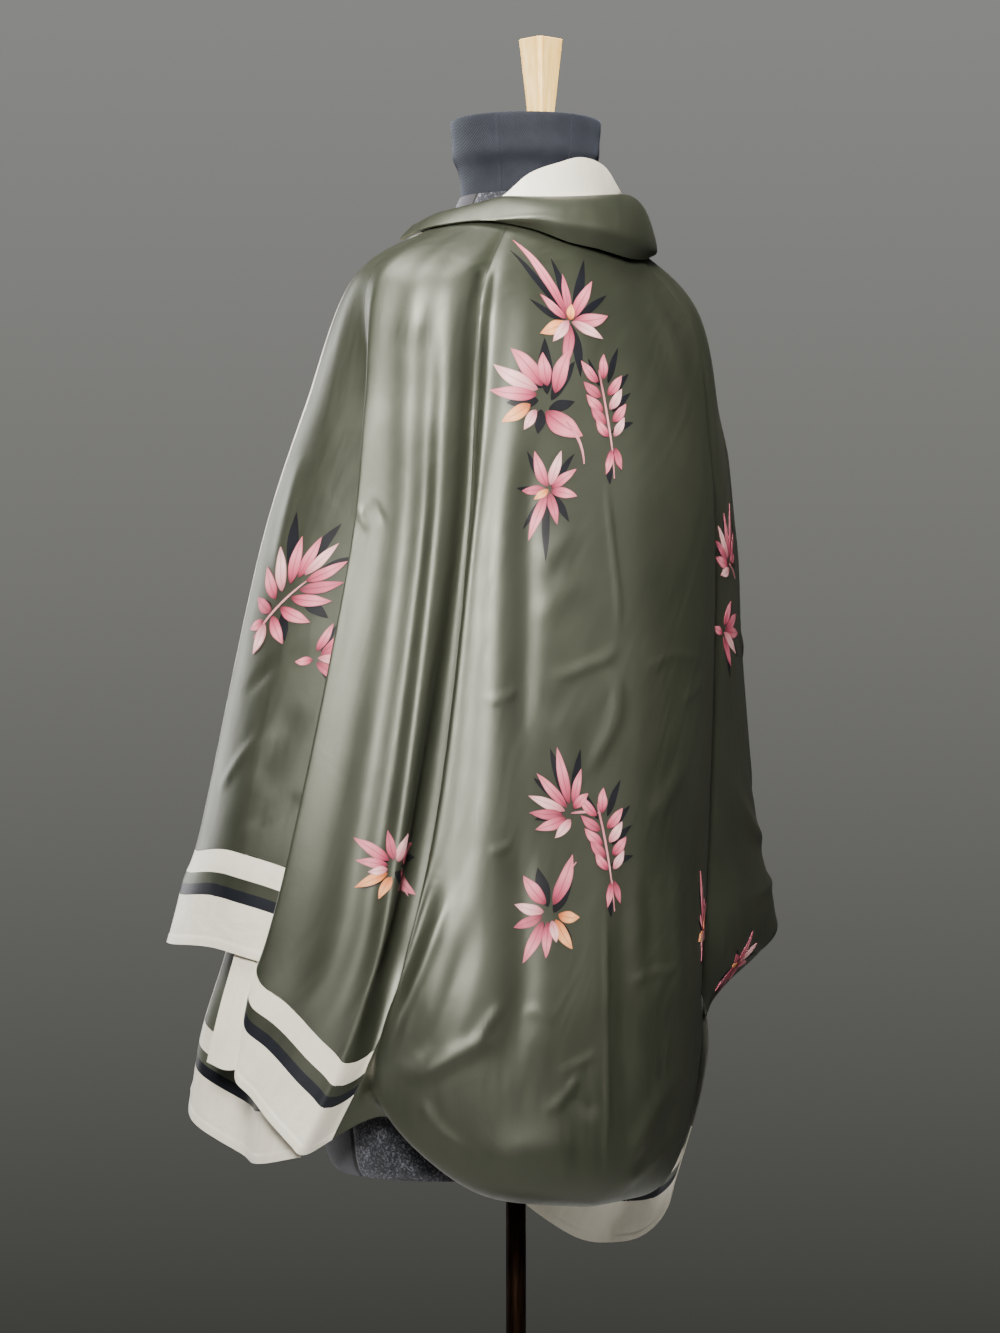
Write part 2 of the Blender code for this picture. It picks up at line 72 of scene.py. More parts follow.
def polar(azimuth, reach, height):
    # a point from the turn round Z, the distance from the axis and the height
    turn = np.radians(azimuth)
    return np.stack([reach * np.sin(turn), -reach * np.cos(turn), height + 0 * turn], -1)


def cubic(knots, values, x):
    # Hermite cubic through unevenly spaced knots, slopes weighted by the steps either side
    knots, values = np.asarray(knots, float), np.asarray(values, float)
    wide = (-1,) + (1,) * (values.ndim - 1)
    step = np.diff(knots).reshape(wide)
    rise = np.diff(values, axis=0) / step
    slope = np.concatenate([
        rise[:1],
        (rise[:-1] * step[1:] + rise[1:] * step[:-1]) / (step[:-1] + step[1:]),
        rise[-1:],
    ])
    k = np.clip(np.searchsorted(knots, x, side="right") - 1, 0, len(knots) - 2)
    h = step[k]
    t = (np.asarray(x) - knots[k]).reshape(wide) / h
    return ((2 * t**3 - 3 * t**2 + 1) * values[k] + (t**3 - 2 * t**2 + t) * h * slope[k]
            + (3 * t**2 - 2 * t**3) * values[k + 1] + (t**3 - t**2) * h * slope[k + 1])


def addNode(tree, kind, settings=None, links=None):
    # one shader node: settings are its properties or unlinked sockets, links feed its sockets
    node = tree.nodes.new("ShaderNode" + kind)
    for key, value in (settings or {}).items():
        if isinstance(key, str) and hasattr(node, key):
            setattr(node, key, value)
        else:
            node.inputs[key].default_value = value
    for key, source in (links or {}).items():
        tree.links.new(source, node.inputs[key])
    return node


def newMaterial(name, sockets):
    # a Principled material with its fixed sockets set, and its tree to build on
    made = bpy.data.materials.new(name)
    made.use_nodes = True
    tree = made.node_tree
    shader = tree.nodes["Principled BSDF"]
    for key, value in sockets.items():
        shader.inputs[key].default_value = value
    return made, tree, shader


def ramp(tree, source, stops):
    # a colour ramp from (place, hex) stops
    node = addNode(tree, "ValToRGB", links={"Fac": source})
    stops = list(stops)
    while len(node.color_ramp.elements) < len(stops):
        node.color_ramp.elements.new(.5)
    for element, (place, code) in zip(node.color_ramp.elements, stops):
        element.position, element.color = place, linear(code)
    return node.outputs["Color"]


# Materials

satinLook = {
    "face": ("#1d1f17", "#24261c", "#2b2d22"),     # sage green, dark to light
    "reverse": ("#34362b", "#3c3e32", "#44463a"),
    "ivory": ("#ccc4af", "#dad2bd", "#e6dfcc"),
    "black": ("#0c0e12", "#12141a", "#1a1c22"),
    "threadPerMetre": 1300,      # a 0.11 mm warp, drawn at 0.77 mm so that it shows
    "slubPerMetre": 26,
}


def satin(name, tones, sockets, weaveDepth, wrinkleDepth):
    # duchess satin: long warp floats give a broad soft sheen, faint warp lines and slubs
    made, tree, shader = newMaterial(name, sockets)
    uv = addNode(tree, "UVMap", {"uv_map": "cloth"}).outputs["UV"]
    here = addNode(tree, "TexCoord").outputs["Object"]
    warp = addNode(tree, "Mapping", {"Scale": (satinLook["threadPerMetre"], 22, 1)}, {"Vector": uv})
    lines = addNode(tree, "TexNoise", {"Scale": 1, "Detail": 2, "Roughness": .6}, {"Vector": warp.outputs[0]})
    slubScale = (satinLook["slubPerMetre"] * 6, satinLook["slubPerMetre"], 1)
    slubs = addNode(tree, "Mapping", {"Scale": slubScale}, {"Vector": uv})
    slub = addNode(tree, "TexNoise", {"Scale": 1, "Detail": 3, "Roughness": .55},
                   {"Vector": slubs.outputs[0]})
    cloud = addNode(tree, "TexNoise", {"Scale": 9, "Detail": 3, "Roughness": .55}, {"Vector": here})
    both = addNode(tree, "Mix", {"data_type": "FLOAT", 0: .7},
                   {2: slub.outputs["Fac"], 3: cloud.outputs["Fac"]})
    colour = ramp(tree, both.outputs[0], [(.28, tones[0]), (.5, tones[1]), (.72, tones[2])])
    tree.links.new(colour, shader.inputs["Base Color"])
    rough = addNode(tree, "MapRange", {"From Min": .3, "From Max": .7,
                                       "To Min": sockets["Roughness"] - .035,
                                       "To Max": sockets["Roughness"] + .035}, {"Value": slub.outputs["Fac"]})
    tree.links.new(rough.outputs[0], shader.inputs["Roughness"])
    pucker = addNode(tree, "TexNoise", {"Scale": 38, "Detail": 4, "Roughness": .5, "Distortion": .5},
                     {"Vector": here})
    soft = addNode(tree, "Bump", {"Strength": 1, "Distance": wrinkleDepth}, {"Height": pucker.outputs["Fac"]})
    weave = addNode(tree, "Bump", {"Strength": 1, "Distance": weaveDepth},
                    {"Height": lines.outputs["Fac"], "Normal": soft.outputs[0]})
    tree.links.new(weave.outputs[0], shader.inputs["Normal"])
    return made


greenSatin = satin("green_duchess_satin", satinLook["face"],
                   {"Roughness": .45, "IOR": 1.7, "Specular IOR Level": .52,
                    "Specular Tint": linear("#eef0da"), "Sheen Weight": .02, "Sheen Roughness": .4,
                    "Sheen Tint": linear("#b9bba6")}, .00005, .0003)
greenReverse = satin("green_satin_reverse", satinLook["reverse"],
                     {"Roughness": .58, "Specular IOR Level": .45, "Sheen Weight": .15,
                      "Sheen Roughness": .5, "Sheen Tint": linear("#a9ab98")}, .00006, .0006)
ivorySatin = satin("ivory_satin_border", satinLook["ivory"],
                   {"Roughness": .48, "Specular IOR Level": .5, "Sheen Weight": .12,
                    "Sheen Roughness": .5, "Sheen Tint": linear("#ffffff")}, .00006, .0011)
blackSatin = satin("black_satin_stripe", satinLook["black"],
                   {"Roughness": .45, "Specular IOR Level": .35, "Sheen Weight": .05,
                    "Sheen Roughness": .4, "Sheen Tint": linear("#8a8f98")}, .00005, .0004)

# Worn cloth: the fold lines of the frame's solids on a finer grid, with rounder folds and a deeper pleat

# fold, neck azimuth, shoulder (azimuth, reach, height), chest (azimuth, reach),
# waist (azimuth, reach), then hip, turn and end (azimuth, reach, height)
mainFolds = [
    ("flap_edge", 94, (75.0, .1450, 1.381), (61.0, .192), (56.0, .2400),
     (54.0, .250, .940), (53.0, .255, .915), (52.5, .260, .895)),
    ("flap_crest", 98, (81.0, .1570, 1.385), (68.0, .207), (62.9, .2525),
     (61.0, .261, .940), (60.0, .266, .915), (59.2, .271, .892)),
    ("flap_slope", 101, (88.0, .1690, 1.385), (80.0, .199), (74.0, .2410),
     (72.5, .245, .940), (72.0, .246, .915), (71.5, .247, .890)),
    ("under_valley", 104, (93.5, .1740, 1.382), (98.0, .172), (88.0, .2030),
     (86.5, .208, .920), (86.0, .210, .890), (85.5, .212, .862)),
    ("drape_front", 108, (98.0, .1760, 1.382), (93.5, .195), (85.8, .2310),
     (81.9, .242, .900), (78.9, .250, .856), (77.9, .256, .805)),
    ("drape_valley_1", 112, (102.5, .1720, 1.378), (99.0, .181), (91.5, .2120),
     (87.5, .2245, .880), (83.5, .2405, .842), (80.5, .2500, .790)),
    ("drape_crest_1", 116, (107.0, .1690, 1.378), (104.5, .177), (97.8, .2060),
     (94.0, .217, .885), (88.0, .2315, .830), (83.0, .2450, .776)),
    ("drape_valley_2", 119, (111.0, .1620, 1.376), (108.0, .1675), (101.5, .1940),
     (97.5, .2050, .880), (91.0, .2235, .822), (85.5, .2395, .763)),
    ("drape_crest_2", 122, (115.0, .1580, 1.376), (111.5, .170), (105.5, .1950),
     (101.5, .204, .880), (94.5, .2165, .815), (88.0, .2350, .753)),
    ("drape_rear", 126, (119.0, .1510, 1.376), (115.4, .160), (107.9, .1860),
     (103.0, .199, .885), (96.5, .214, .810), (89.8, .231, .745)),
    ("pleat", 129, (122.2, .1440, 1.372), (117.8, .149), (110.1, .1730),
     (104.9, .185, .880), (98.5, .192, .812), (90.0, .204, .754)),
    ("left_crest", 132, (125.5, .1450, 1.372), (120.2, .161), (112.2, .1865),
     (106.8, .202, .880), (101.0, .205, .800), (100.5, .184, .776)),
    ("valley_1", 137, (131.0, .1410, 1.368), (123.0, .1580), (117.0, .1805),
     (109.5, .1990, .865), (104.5, .198, .775), (106.0, .177, .757)),
    ("crest_1", 142, (137.0, .1380, 1.364), (128.0, .158), (123.3, .1790),
     (115.0, .200, .845), (110.2, .190, .752), (112.0, .166, .739)),
    ("valley_2", 150, (146.0, .1310, 1.358), (134.0, .1515), (131.0, .1700),
     (124.0, .190, .835), (121.5, .174, .724), (123.0, .124, .707)),
    ("crest_2", 159, (155.0, .1280, 1.353), (141.0, .1475), (140.0, .1620),
     (138.0, .178, .820), (138.0, .167, .714), (139.0, .100, .704)),
    ("valley_3", 166, (162.0, .1240, 1.350), (149.5, .1450), (148.0, .1570),
     (147.0, .172, .825), (147.0, .162, .712), (148.0, .095, .703)),
    ("crease", 172, (168.0, .1220, 1.348), (158.0, .1445), (156.0, .1555),
     (154.5, .168, .850), (154.5, .161, .711), (155.0, .095, .703)),
    ("crest_3", 182, (180.0, .1220, 1.346), (172.0, .146), (169.0, .1560),
     (167.0, .163, .840), (169.0, .151, .713), (169.0, .090, .704)),
    ("crest_4", 194, (194.0, .1240, 1.348), (189.0, .148), (187.0, .1520),
     (186.0, .156, .840), (187.0, .1385, .715), (187.0, .092, .705)),
    ("right_slope", 202, (205.0, .1300, 1.354), (202.0, .152), (200.0, .1500),
     (199.0, .150, .850), (203.0, .139, .757), (203.0, .121, .745)),
    ("right_edge", 207, (212.0, .1360, 1.358), (210.5, .154), (210.3, .1490),
     (210.0, .144, .860), (212.0, .1425, .805), (213.0, .135, .788)),
]
# the right side: fold, neck azimuth, shoulder, chest, waist, then elbow, tuck, low and hem
rightFolds = [
    ("under_back", 210, (207.0, .1240, 1.350), (199.0, .137), (204.0, .1340),
     (213.5, .137, .885), (219.5, .147, .822), (238.0, .152, .775), (266.0, .176, .680)),
    ("slope", 214, (222.0, .1400, 1.366), (228.0, .165), (230.0, .1720),
     (232.0, .178, .889), (236.0, .150, .822), (248.0, .160, .765), (272.0, .186, .655)),
    ("crest", 226, (246.0, .1520, 1.381), (251.0, .193), (250.0, .2170),
     (250.5, .231, .884), (256.0, .178, .826), (262.0, .180, .750), (279.0, .186, .636)),
    ("side_valley", 237, (261.0, .1640, 1.385), (266.0, .192), (264.0, .2100),
     (264.0, .224, .878), (267.0, .186, .822), (272.0, .183, .745), (287.0, .182, .630)),
    ("front_crest", 248, (274.0, .1670, 1.385), (280.0, .203), (280.0, .2340),
     (280.0, .245, .882), (280.0, .206, .825), (284.0, .198, .745), (295.0, .188, .630)),
    ("front_slope", 257, (280.0, .1600, 1.385), (291.0, .197), (292.0, .2300),
     (292.0, .242, .886), (291.0, .212, .830), (293.0, .206, .750), (303.0, .200, .640)),
    ("right_flap_edge", 265, (286.0, .1460, 1.381), (299.0, .184), (301.0, .2220),
     (302.0, .236, .890), (301.0, .215, .835), (302.0, .212, .755), (311.0, .212, .658)),
]
# the inner wing of the left end: fold, then seven stations (azimuth, reach, height)
wingFolds = [
    ("wing_edge", (70.0, .160, 1.300), (68.0, .165, 1.250), (63.0, .175, 1.150),
     (55.0, .196, .990), (50.5, .214, .890), (50.0, .235, .825), (49.5, .249, .778)),
    ("wing_crest", (73.0, .165, 1.303), (72.0, .170, 1.250), (68.0, .180, 1.150),
     (61.0, .207, .990), (57.5, .224, .890), (57.5, .243, .825), (57.0, .251, .757)),
    ("wing_valley", (76.5, .167, 1.305), (76.0, .170, 1.250), (74.0, .172, 1.150),
     (69.0, .193, .990), (66.5, .206, .890), (66.5, .214, .825), (66.0, .223, .736)),
    ("wing_crest_2", (80.0, .169, 1.307), (80.0, .171, 1.250), (79.5, .176, 1.150),
     (77.0, .199, .990), (76.0, .211, .890), (76.0, .224, .825), (76.0, .229, .734)),
    ("wing_fold", (84.0, .170, 1.309), (84.5, .170, 1.250), (85.5, .168, 1.150),
     (85.5, .184, .990), (85.0, .196, .890), (85.0, .207, .825), (86.0, .219, .742)),
]
# the ivory underlap: fold, then five stations (azimuth, reach, height)
underFolds = [
    ("under_hidden", (82.0, .205, .985), (81.0, .211, .945), (79.5, .219, .895),
     (78.0, .230, .850), (77.0, .240, .806)),
    ("under_mid", (78.0, .212, .985), (77.0, .219, .945), (75.5, .228, .895),
     (74.5, .240, .850), (73.5, .250, .803)),
    ("under_edge", (74.0, .219, .985), (73.0, .226, .945), (72.0, .237, .895),
     (71.0, .249, .850), (70.0, .258, .808)),
]
# the rolled collar: azimuth, then foot, crest, outer, edge and tuck (reach, height)
collarRings = [
    (88, (.1060, 1.4275), (.1100, 1.4290), (.1165, 1.4245), (.1245, 1.4172), (.1215, 1.4174)),
    (96, (.0960, 1.4330), (.1005, 1.4370), (.1085, 1.4340), (.1195, 1.4237), (.1165, 1.4249)),
    (104, (.0885, 1.4360), (.0930, 1.4405), (.1020, 1.4390), (.1155, 1.4268), (.1125, 1.4278)),
    (114, (.0815, 1.4385), (.0855, 1.4445), (.0955, 1.4435), (.1095, 1.4292), (.1065, 1.4307)),
    (125, (.0780, 1.4385), (.0810, 1.4485), (.0905, 1.4480), (.1060, 1.4300), (.1020, 1.4288)),
    (140, (.0755, 1.4390), (.0785, 1.4490), (.0900, 1.4480), (.1050, 1.4310), (.0995, 1.4235)),
    (155, (.0750, 1.4370), (.0780, 1.4500), (.0905, 1.4475), (.1060, 1.4270), (.0995, 1.4150)),
    (170, (.0750, 1.4350), (.0790, 1.4515), (.0920, 1.4485), (.1070, 1.4240), (.0990, 1.4115)),
    (190, (.0770, 1.4360), (.0820, 1.4550), (.0950, 1.4505), (.1072, 1.4200), (.0995, 1.4075)),
    (208, (.0810, 1.4380), (.0860, 1.4575), (.0970, 1.4520), (.1072, 1.4160), (.1005, 1.4095)),
    (228, (.0870, 1.4390), (.0920, 1.4550), (.1000, 1.4490), (.1090, 1.4190), (.1045, 1.4162)),
    (250, (.0970, 1.4380), (.1020, 1.4470), (.1090, 1.4440), (.1170, 1.4235), (.1130, 1.4205)),
    (266, (.1060, 1.4330), (.1100, 1.4400), (.1170, 1.4375), (.1240, 1.4235), (.1200, 1.4190)),
]
# the ivory border that stands behind the neck: azimuth, then foot, middle and top (reach, height)
neckRings = [
    (97, (.0915, 1.4325), (.0915, 1.4360), (.0915, 1.4390)),
    (108, (.0815, 1.4385), (.0812, 1.4420), (.0810, 1.4450)),
    (122, (.0735, 1.4420), (.0725, 1.4465), (.0718, 1.4505)),
    (140, (.0715, 1.4430), (.0700, 1.4560), (.0690, 1.4690)),
    (160, (.0710, 1.4430), (.0700, 1.4600), (.0700, 1.4785)),
    (176, (.0715, 1.4430), (.0705, 1.4620), (.0715, 1.4835)),
    (195, (.0725, 1.4440), (.0725, 1.4600), (.0745, 1.4795)),
    (212, (.0755, 1.4450), (.0765, 1.4560), (.0790, 1.4660)),
    (228, (.0805, 1.4460), (.0825, 1.4530), (.0850, 1.4590)),
]
stole = {
    "mainKnots": (0, .14, .27, .42, .66, .80, .92, 1),
    "rightKnots": (0, .12, .23, .36, .56, .67, .76, .86, 1),
    "wingKnots": (0, .10, .28, .55, .72, .85, 1),
    "collarKnots": (0, .20, .42, .80, 1),
    "chestHeight": 1.200, "waistHeight": .970, "shoulderSwell": .003,
    "underFold": 3, "pleatFold": 10, "creaseGain": 1.5,
    "thickness": .0009,
    "seam": .0003,
    "border": .028,
    "band": .074,
    "bandRows": (.0737, .071, .066, .061, .0562, .0558, .0515, .0472, .0468, .0425, .0382, .0378,
                 .033, .028, .023, .018, .013, .0095, .0082, .0072, .0062, .0045, .0028, .0012, 0),
    # distances from the hem at which the band turns from ivory to black, to green, and back to ivory
    "stripes": (.038, .047, .056),
}

# soft creases: half width, height (minus is a trough), lean, then (fold, level) points
# lean 0 is even on both sides, 1 is all slope: up on one side of the line and down on the other
mainCreases = [
    # drags and pressed folds down the middle of the back
    (.004, .0012, .3, [(15, .54), (15.75, .54), (16.5, .532), (17.12, .525), (17.38, .511)]),
    (.006, .0012, .2, [(16.88, .532), (17.38, .547), (17.38, .565), (17, .59), (16.25, .619)]),
    (.0022, .0008, 0, [(16.88, .338), (17.2, .43), (17.38, .482), (17.38, .518)]),
    (.0022, .0010, 0, [(17, .691), (17, .763), (17, .82), (16.95, .863), (16.88, .899)]),
    (.012, -.0017, 0, [(17.5, .647), (17.5, .734), (17.5, .82), (17.4, .878)]),
    (.010, .0008, .2, [(14.62, .504), (15.38, .482), (16.25, .46)]),
    (.009, .0007, .2, [(14.62, .453), (15.25, .439), (15.88, .41)]),
    (.012, .0009, 0, [(15.38, .561), (15.75, .59), (15.4, .626)]),
    # the right half of the back
    (.003, .0008, .3, [(17.88, .532), (18.25, .532), (18.62, .525), (19.25, .525), (20.1, .525)]),
    (.004, .0008, .2, [(20.1, .54), (19.38, .554), (18.88, .561)]),
    (.008, .0013, .2, [(19.25, .597), (18.62, .626), (18.12, .647)]),
    (.003, .0010, .4, [(17.5, .777), (18.25, .763), (18.88, .763)]),
    (.010, .0011, 0, [(18.75, .662), (18.75, .734), (18.88, .806)]),
    (.010, -.0012, 0, [(18.12, .676), (18.12, .734), (18.12, .791)]),
    (.012, .0008, 0, [(19.12, .065), (19.38, .137), (19.75, .23)]),
    # the long roll left of the middle, and the shade line beside it
    (.010, -.0017, 0, [(13.5, .288), (14, .388), (14.25, .482), (14.12, .561), (14, .612)]),
    (.012, -.0020, 0, [(14, .64), (14.38, .698), (14.62, .763), (14.38, .835)]),
    (.003, .0007, .4, [(12.62, .554), (13.25, .554), (14.12, .547)]),
    (.003, .0008, .4, [(13.25, .662), (13.62, .662), (14, .655)]),
    # folds that gather towards the tuck at the lower edge
    (.009, .0018, 0, [(19.25, .835), (18.38, .849), (17.88, .871), (17.25, .899)]),
    (.007, .0017, 0, [(18.5, .878), (17.88, .892), (17.25, .914)]),
    (.006, -.0015, 0, [(18.88, .856), (18.25, .878), (17.5, .899)]),
    (.014, .0013, 0, [(14.38, .892), (14.75, .871), (16.12, .863)]),
    # the blouse over the lower left, and the folds beside the pleat
    (.004, .0013, .3, [(14.38, .77), (14.12, .791), (13.88, .813)]),
    (.007, .0017, .3, [(14.38, .799), (13.88, .813), (13.25, .835), (12.38, .871)]),
    (.010, -.0018, 0, [(13.25, .705), (13.25, .763), (13, .813), (12.25, .863)]),
    (.006, .0022, 0, [(12.25, .683), (12.25, .741), (12.1, .784), (11.75, .835), (11.62, .878)]),
    (.006, -.0021, 0, [(11.6, .662), (11.5, .77), (11.2, .842)]),
    (.005, .0012, .3, [(13, .863), (13.38, .878), (14, .885)]),
    # small crumples in the low middle
    (.003, .0010, .2, [(15, .842), (15.38, .835), (15.75, .827), (16, .82)]),
    (.003, .0008, .3, [(15.38, .813), (15.88, .813), (16.88, .822)]),
    (.006, -.0011, 0, [(15.75, .827), (16.12, .842), (16.75, .856)]),
    (.004, .0008, .3, [(14.62, .777), (14.88, .77), (15.38, .777)]),
    # from the shoulder
    (.006, -.0018, 0, [(9.6, .101), (9.9, .137), (9.88, .173)]),
    (.012, .0009, 0, [(7.25, .094), (6.75, .158), (6, .216)]),
    (.012, -.0008, 0, [(12, .072), (14, .122), (16, .144)]),
    # the flap
    (.005, -.0015, .2, [(2.5, .505), (2.12, .518), (1.88, .525), (1.5, .545)]),
    (.010, -.0014, 0, [(2.4, .545), (2.2, .576), (2.12, .61)]),
    (.004, -.0012, .3, [(2.6, .612), (2.38, .626), (2, .648)]),
    (.004, .0012, .3, [(2.2, .56), (1.75, .583), (1.4, .61)]),
    (.007, .0013, 0, [(1.62, .317), (1.62, .41), (1.62, .46)]),
    (.003, .0005, .3, [(4.25, .396), (4.45, .41), (4.75, .424)]),
    (.003, -.0004, .3, [(4.75, .388), (4.95, .403), (5.25, .417)]),
]
# the same kind of folds on the right side, most of them out of the first view
rightCreases = [
    (.010, .0020, 0, [(1.4, .20), (1.7, .32), (1.6, .44)]),
    (.012, -.0022, 0, [(2.6, .22), (2.8, .36), (2.7, .50)]),
    (.010, .0022, 0, [(3.6, .18), (3.8, .32), (3.9, .46)]),
    (.004, .0014, .3, [(1.2, .42), (2, .44), (2.9, .41)]),
    (.004, .0013, .3, [(3.2, .52), (4, .50), (4.8, .515)]),
    (.006, -.0018, .2, [(1.4, .50), (2.2, .545), (3.2, .56)]),
    (.008, .0022, 0, [(.9, .52), (1.6, .56), (2.6, .575)]),
    (.006, .0018, .2, [(1, .63), (1.8, .61), (2.8, .60)]),
    (.009, .0026, 0, [(1.2, .70), (2, .66), (3.1, .645)]),
    (.008, -.0022, 0, [(1.5, .74), (2.4, .70), (3.6, .69)]),
    (.007, .0020, 0, [(2, .79), (3, .75), (4.2, .72)]),
    (.005, .0014, .3, [(4.4, .28), (4.8, .34), (5, .41)]),
]
wingCreases = [
    (.006, .0016, 0, [(1.2, .30), (1.5, .45), (1.4, .62)]),
    (.005, -.0014, .2, [(2.2, .50), (1.7, .56), (1.1, .60)]),
    (.004, .0012, .3, [(2.6, .74), (1.9, .78), (1.2, .80)]),
]


def foldLine(row):
    # stations down one fold: neck, shoulder, a swell half way to the chest, chest, waist and the rest
    name, neckAzimuth, shoulder, chest, waist, *rest = row
    # the neck line stands highest at azimuth 140: up by .0075 exp(-((a - 140) / 45)^4)
    lift = .0075 * np.exp(-((neckAzimuth - 140) / 45) ** 4)
    neck = (neckAzimuth, .084 + .026 * abs(np.sin(np.radians(neckAzimuth))) ** 4, 1.424 + lift)
    upper = ((shoulder[0] + chest[0]) / 2, (shoulder[1] + chest[1]) / 2 + stole["shoulderSwell"],
             (shoulder[2] + stole["chestHeight"]) / 2)
    stations = [neck, shoulder, upper, (*chest, stole["chestHeight"]), (*waist, stole["waistHeight"]), *rest]
    return polar(*np.array(stations, float).T)


def plainLines(rows):
    return polar(*np.moveaxis(np.array([row[1:] for row in rows], float), -1, 0))


def ringLines(rows):
    reach, height = np.moveaxis(np.array([row[1:] for row in rows], float), -1, 0)
    return polar(np.array([row[0] for row in rows], float)[:, None] + 0 * reach, reach, height)


def sample(sheet, name, u, v):
    # a grid's value at fold u and level v, linear both ways between its samples
    grid = sheet[name]
    i = np.clip(u * sheet["perFold"], 0, grid.shape[0] - 1.000001)
    j = np.clip(v * (grid.shape[1] - 1), 0, grid.shape[1] - 1.000001)
    a, b = i.astype(int), j.astype(int)
    s, t = (i - a), (j - b)
    if grid.ndim == 3:
        s, t = s[..., None], t[..., None]
    return ((1 - s) * (1 - t) * grid[a, b] + s * (1 - t) * grid[a + 1, b]
            + (1 - s) * t * grid[a, b + 1] + s * t * grid[a + 1, b + 1])


def unitNormals(points):
    # cross product of the steps down and across, at length one
    normals = np.cross(np.gradient(points, axis=1), np.gradient(points, axis=0))
    return normals / np.maximum(np.linalg.norm(normals, axis=-1, keepdims=True), 1e-12)


def creaseHeight(sheet, width, height, lean, path):
    # height times a bell of the distance to a smooth path on the cloth, fading in and out along it;
    # the lean swaps the bell for its slope
    path = np.array(path, float)
    t = np.linspace(0, len(path) - 1, 24 * (len(path) - 1) + 1)
    u, v = cubic(np.arange(len(path)), path, t).T
    line = sample(sheet, "points", u, v)
    points = sheet["points"]
    low, high = line.min(0) - 3 * width, line.max(0) + 3 * width
    near = ((points > low) & (points < high)).all(-1)
    here, normals = points[near], sheet["normals"][near]
    away = here[:, None] - line[None]
    square = (away ** 2).sum(-1)
    k = square.argmin(1)
    distance = np.sqrt(square[np.arange(len(k)), k])
    along = np.gradient(line, axis=0)[k]
    side = np.sign((np.cross(along, normals) * away[np.arange(len(k)), k]).sum(-1)) * distance / width
    place = k / (len(line) - 1)
    fade = smooth(place / .3) * smooth((1 - place) / .3)
    bell = np.exp(-side ** 2)
    made = np.zeros(points.shape[:2])
    made[near] = height * fade * ((1 - lean) * bell + lean * side * np.sqrt(2 * np.e) * bell)
    return made


def relaxed(points, u, start, spread):
    # past fold start, each point moves to the bell-weighted mean of its row, spread samples wide,
    # which rounds the folds as a heavy satin does
    offsets = np.arange(-3 * spread, 3 * spread + 1)
    weights = np.exp(-.5 * (offsets / spread) ** 2)
    padded = np.pad(points, ((3 * spread, 3 * spread), (0, 0), (0, 0)), mode="reflect", reflect_type="odd")
    mean = sum(w * padded[3 * spread + o:3 * spread + o + len(points)] for w, o in zip(weights, offsets))
    part = smooth((u - start) / .9)[:, None, None]
    return points + part * (mean / weights.sum() - points)


def clothSheet(lines, knots, perFold, levels, creases=(), ripple=None, soften=None):
    # a smooth surface through fold lines on a fine (fold, level) grid, raised along its creases,
    # with its normals and the distance across from its first side and down from its top
    lines = np.asarray(lines, float)
    count, stations = lines.shape[:2]
    knots = np.linspace(0, 1, stations) if knots is None else knots
    v = np.linspace(0, 1, levels)
    along = cubic(knots, lines.swapaxes(0, 1), v).swapaxes(0, 1)
    u = np.linspace(0, count - 1, (count - 1) * perFold + 1)
    points = cubic(np.arange(count), along, u)
    if soften:
        points = relaxed(points, u, *soften)
    sheet = {"u": u, "v": v, "perFold": perFold, "points": points, "normals": unitNormals(points)}
    raised = sum((creaseHeight(sheet, *crease) for crease in creases), np.zeros(points.shape[:2]))
    rise = stole["creaseGain"] * raised
    if ripple is not None:
        rise = rise + ripple(u[:, None], v[None, :])
    sheet["points"] = points + sheet["normals"] * rise[..., None]
    sheet["normals"] = unitNormals(sheet["points"])
    step = np.linalg.norm(np.diff(sheet["points"], axis=1), axis=-1)
    sheet["down"] = np.pad(np.cumsum(step, axis=1), ((0, 0), (1, 0)))
    step = np.linalg.norm(np.diff(sheet["points"], axis=0), axis=-1)
    sheet["across"] = np.pad(np.cumsum(step, axis=0), ((1, 0), (0, 0)))
    return sheet


def fromEnd(sheet, distance):
    # the level, for each column of the grid, this far up from the lower end
    return np.array([np.interp(row[-1] - distance, row, sheet["v"]) for row in sheet["down"]])


def fromSide(sheet, width, offset, stop, last=False):
    # the fold, for each level, this far in from a side, or half way to fold stop where room is short
    across = sheet["across"]
    side = across[-1 if last else 0]
    room = abs(across[stop * sheet["perFold"]] - side)
    reach = side + (-1 if last else 1) * (np.minimum(width, room / 2) + offset)
    return np.array([np.interp(r, row, sheet["u"]) for r, row in zip(reach, across.T)])


def beside(sheet, fold, distance):
    # the fold, for each level, this far past a given fold
    reach = sheet["across"][fold * sheet["perFold"]] + distance
    return np.array([np.interp(r, row, sheet["u"]) for r, row in zip(reach, sheet["across"].T)])


def levelsBetween(sheet, top, bottom, rows):
    # even levels from one end curve to another, one curve a row
    curves = [np.broadcast_to(c, sheet["u"].shape) for c in (top, bottom)]
    t = np.linspace(0, 1, rows + 1)[:, None]
    return curves[0] * (1 - t) + curves[1] * t


def cutCloth(sheet, low, high, columns, curves):
    # folds and levels of a stretch between two sides, with a level curve for each row
    s = np.linspace(0, 1, columns + 1)[:, None] if np.isscalar(columns) else np.asarray(columns)[:, None]
    curves = np.asarray(curves)
    u, v = s + 0 * curves[:, 0], np.broadcast_to(curves.mean(1), (len(s), len(curves))).copy()

    def side(value):
        return value if np.isscalar(value) else np.interp(v, sheet["v"], value)

    for _ in range(8):
        u = side(low) + (side(high) - side(low)) * s
        i = np.clip(u * sheet["perFold"], 0, len(sheet["u"]) - 1.000001)
        a = i.astype(int)
        k = np.arange(len(curves))[None, :]
        v = (1 - (i - a)) * curves[k, a] + (i - a) * curves[k, a + 1]
    return u, v


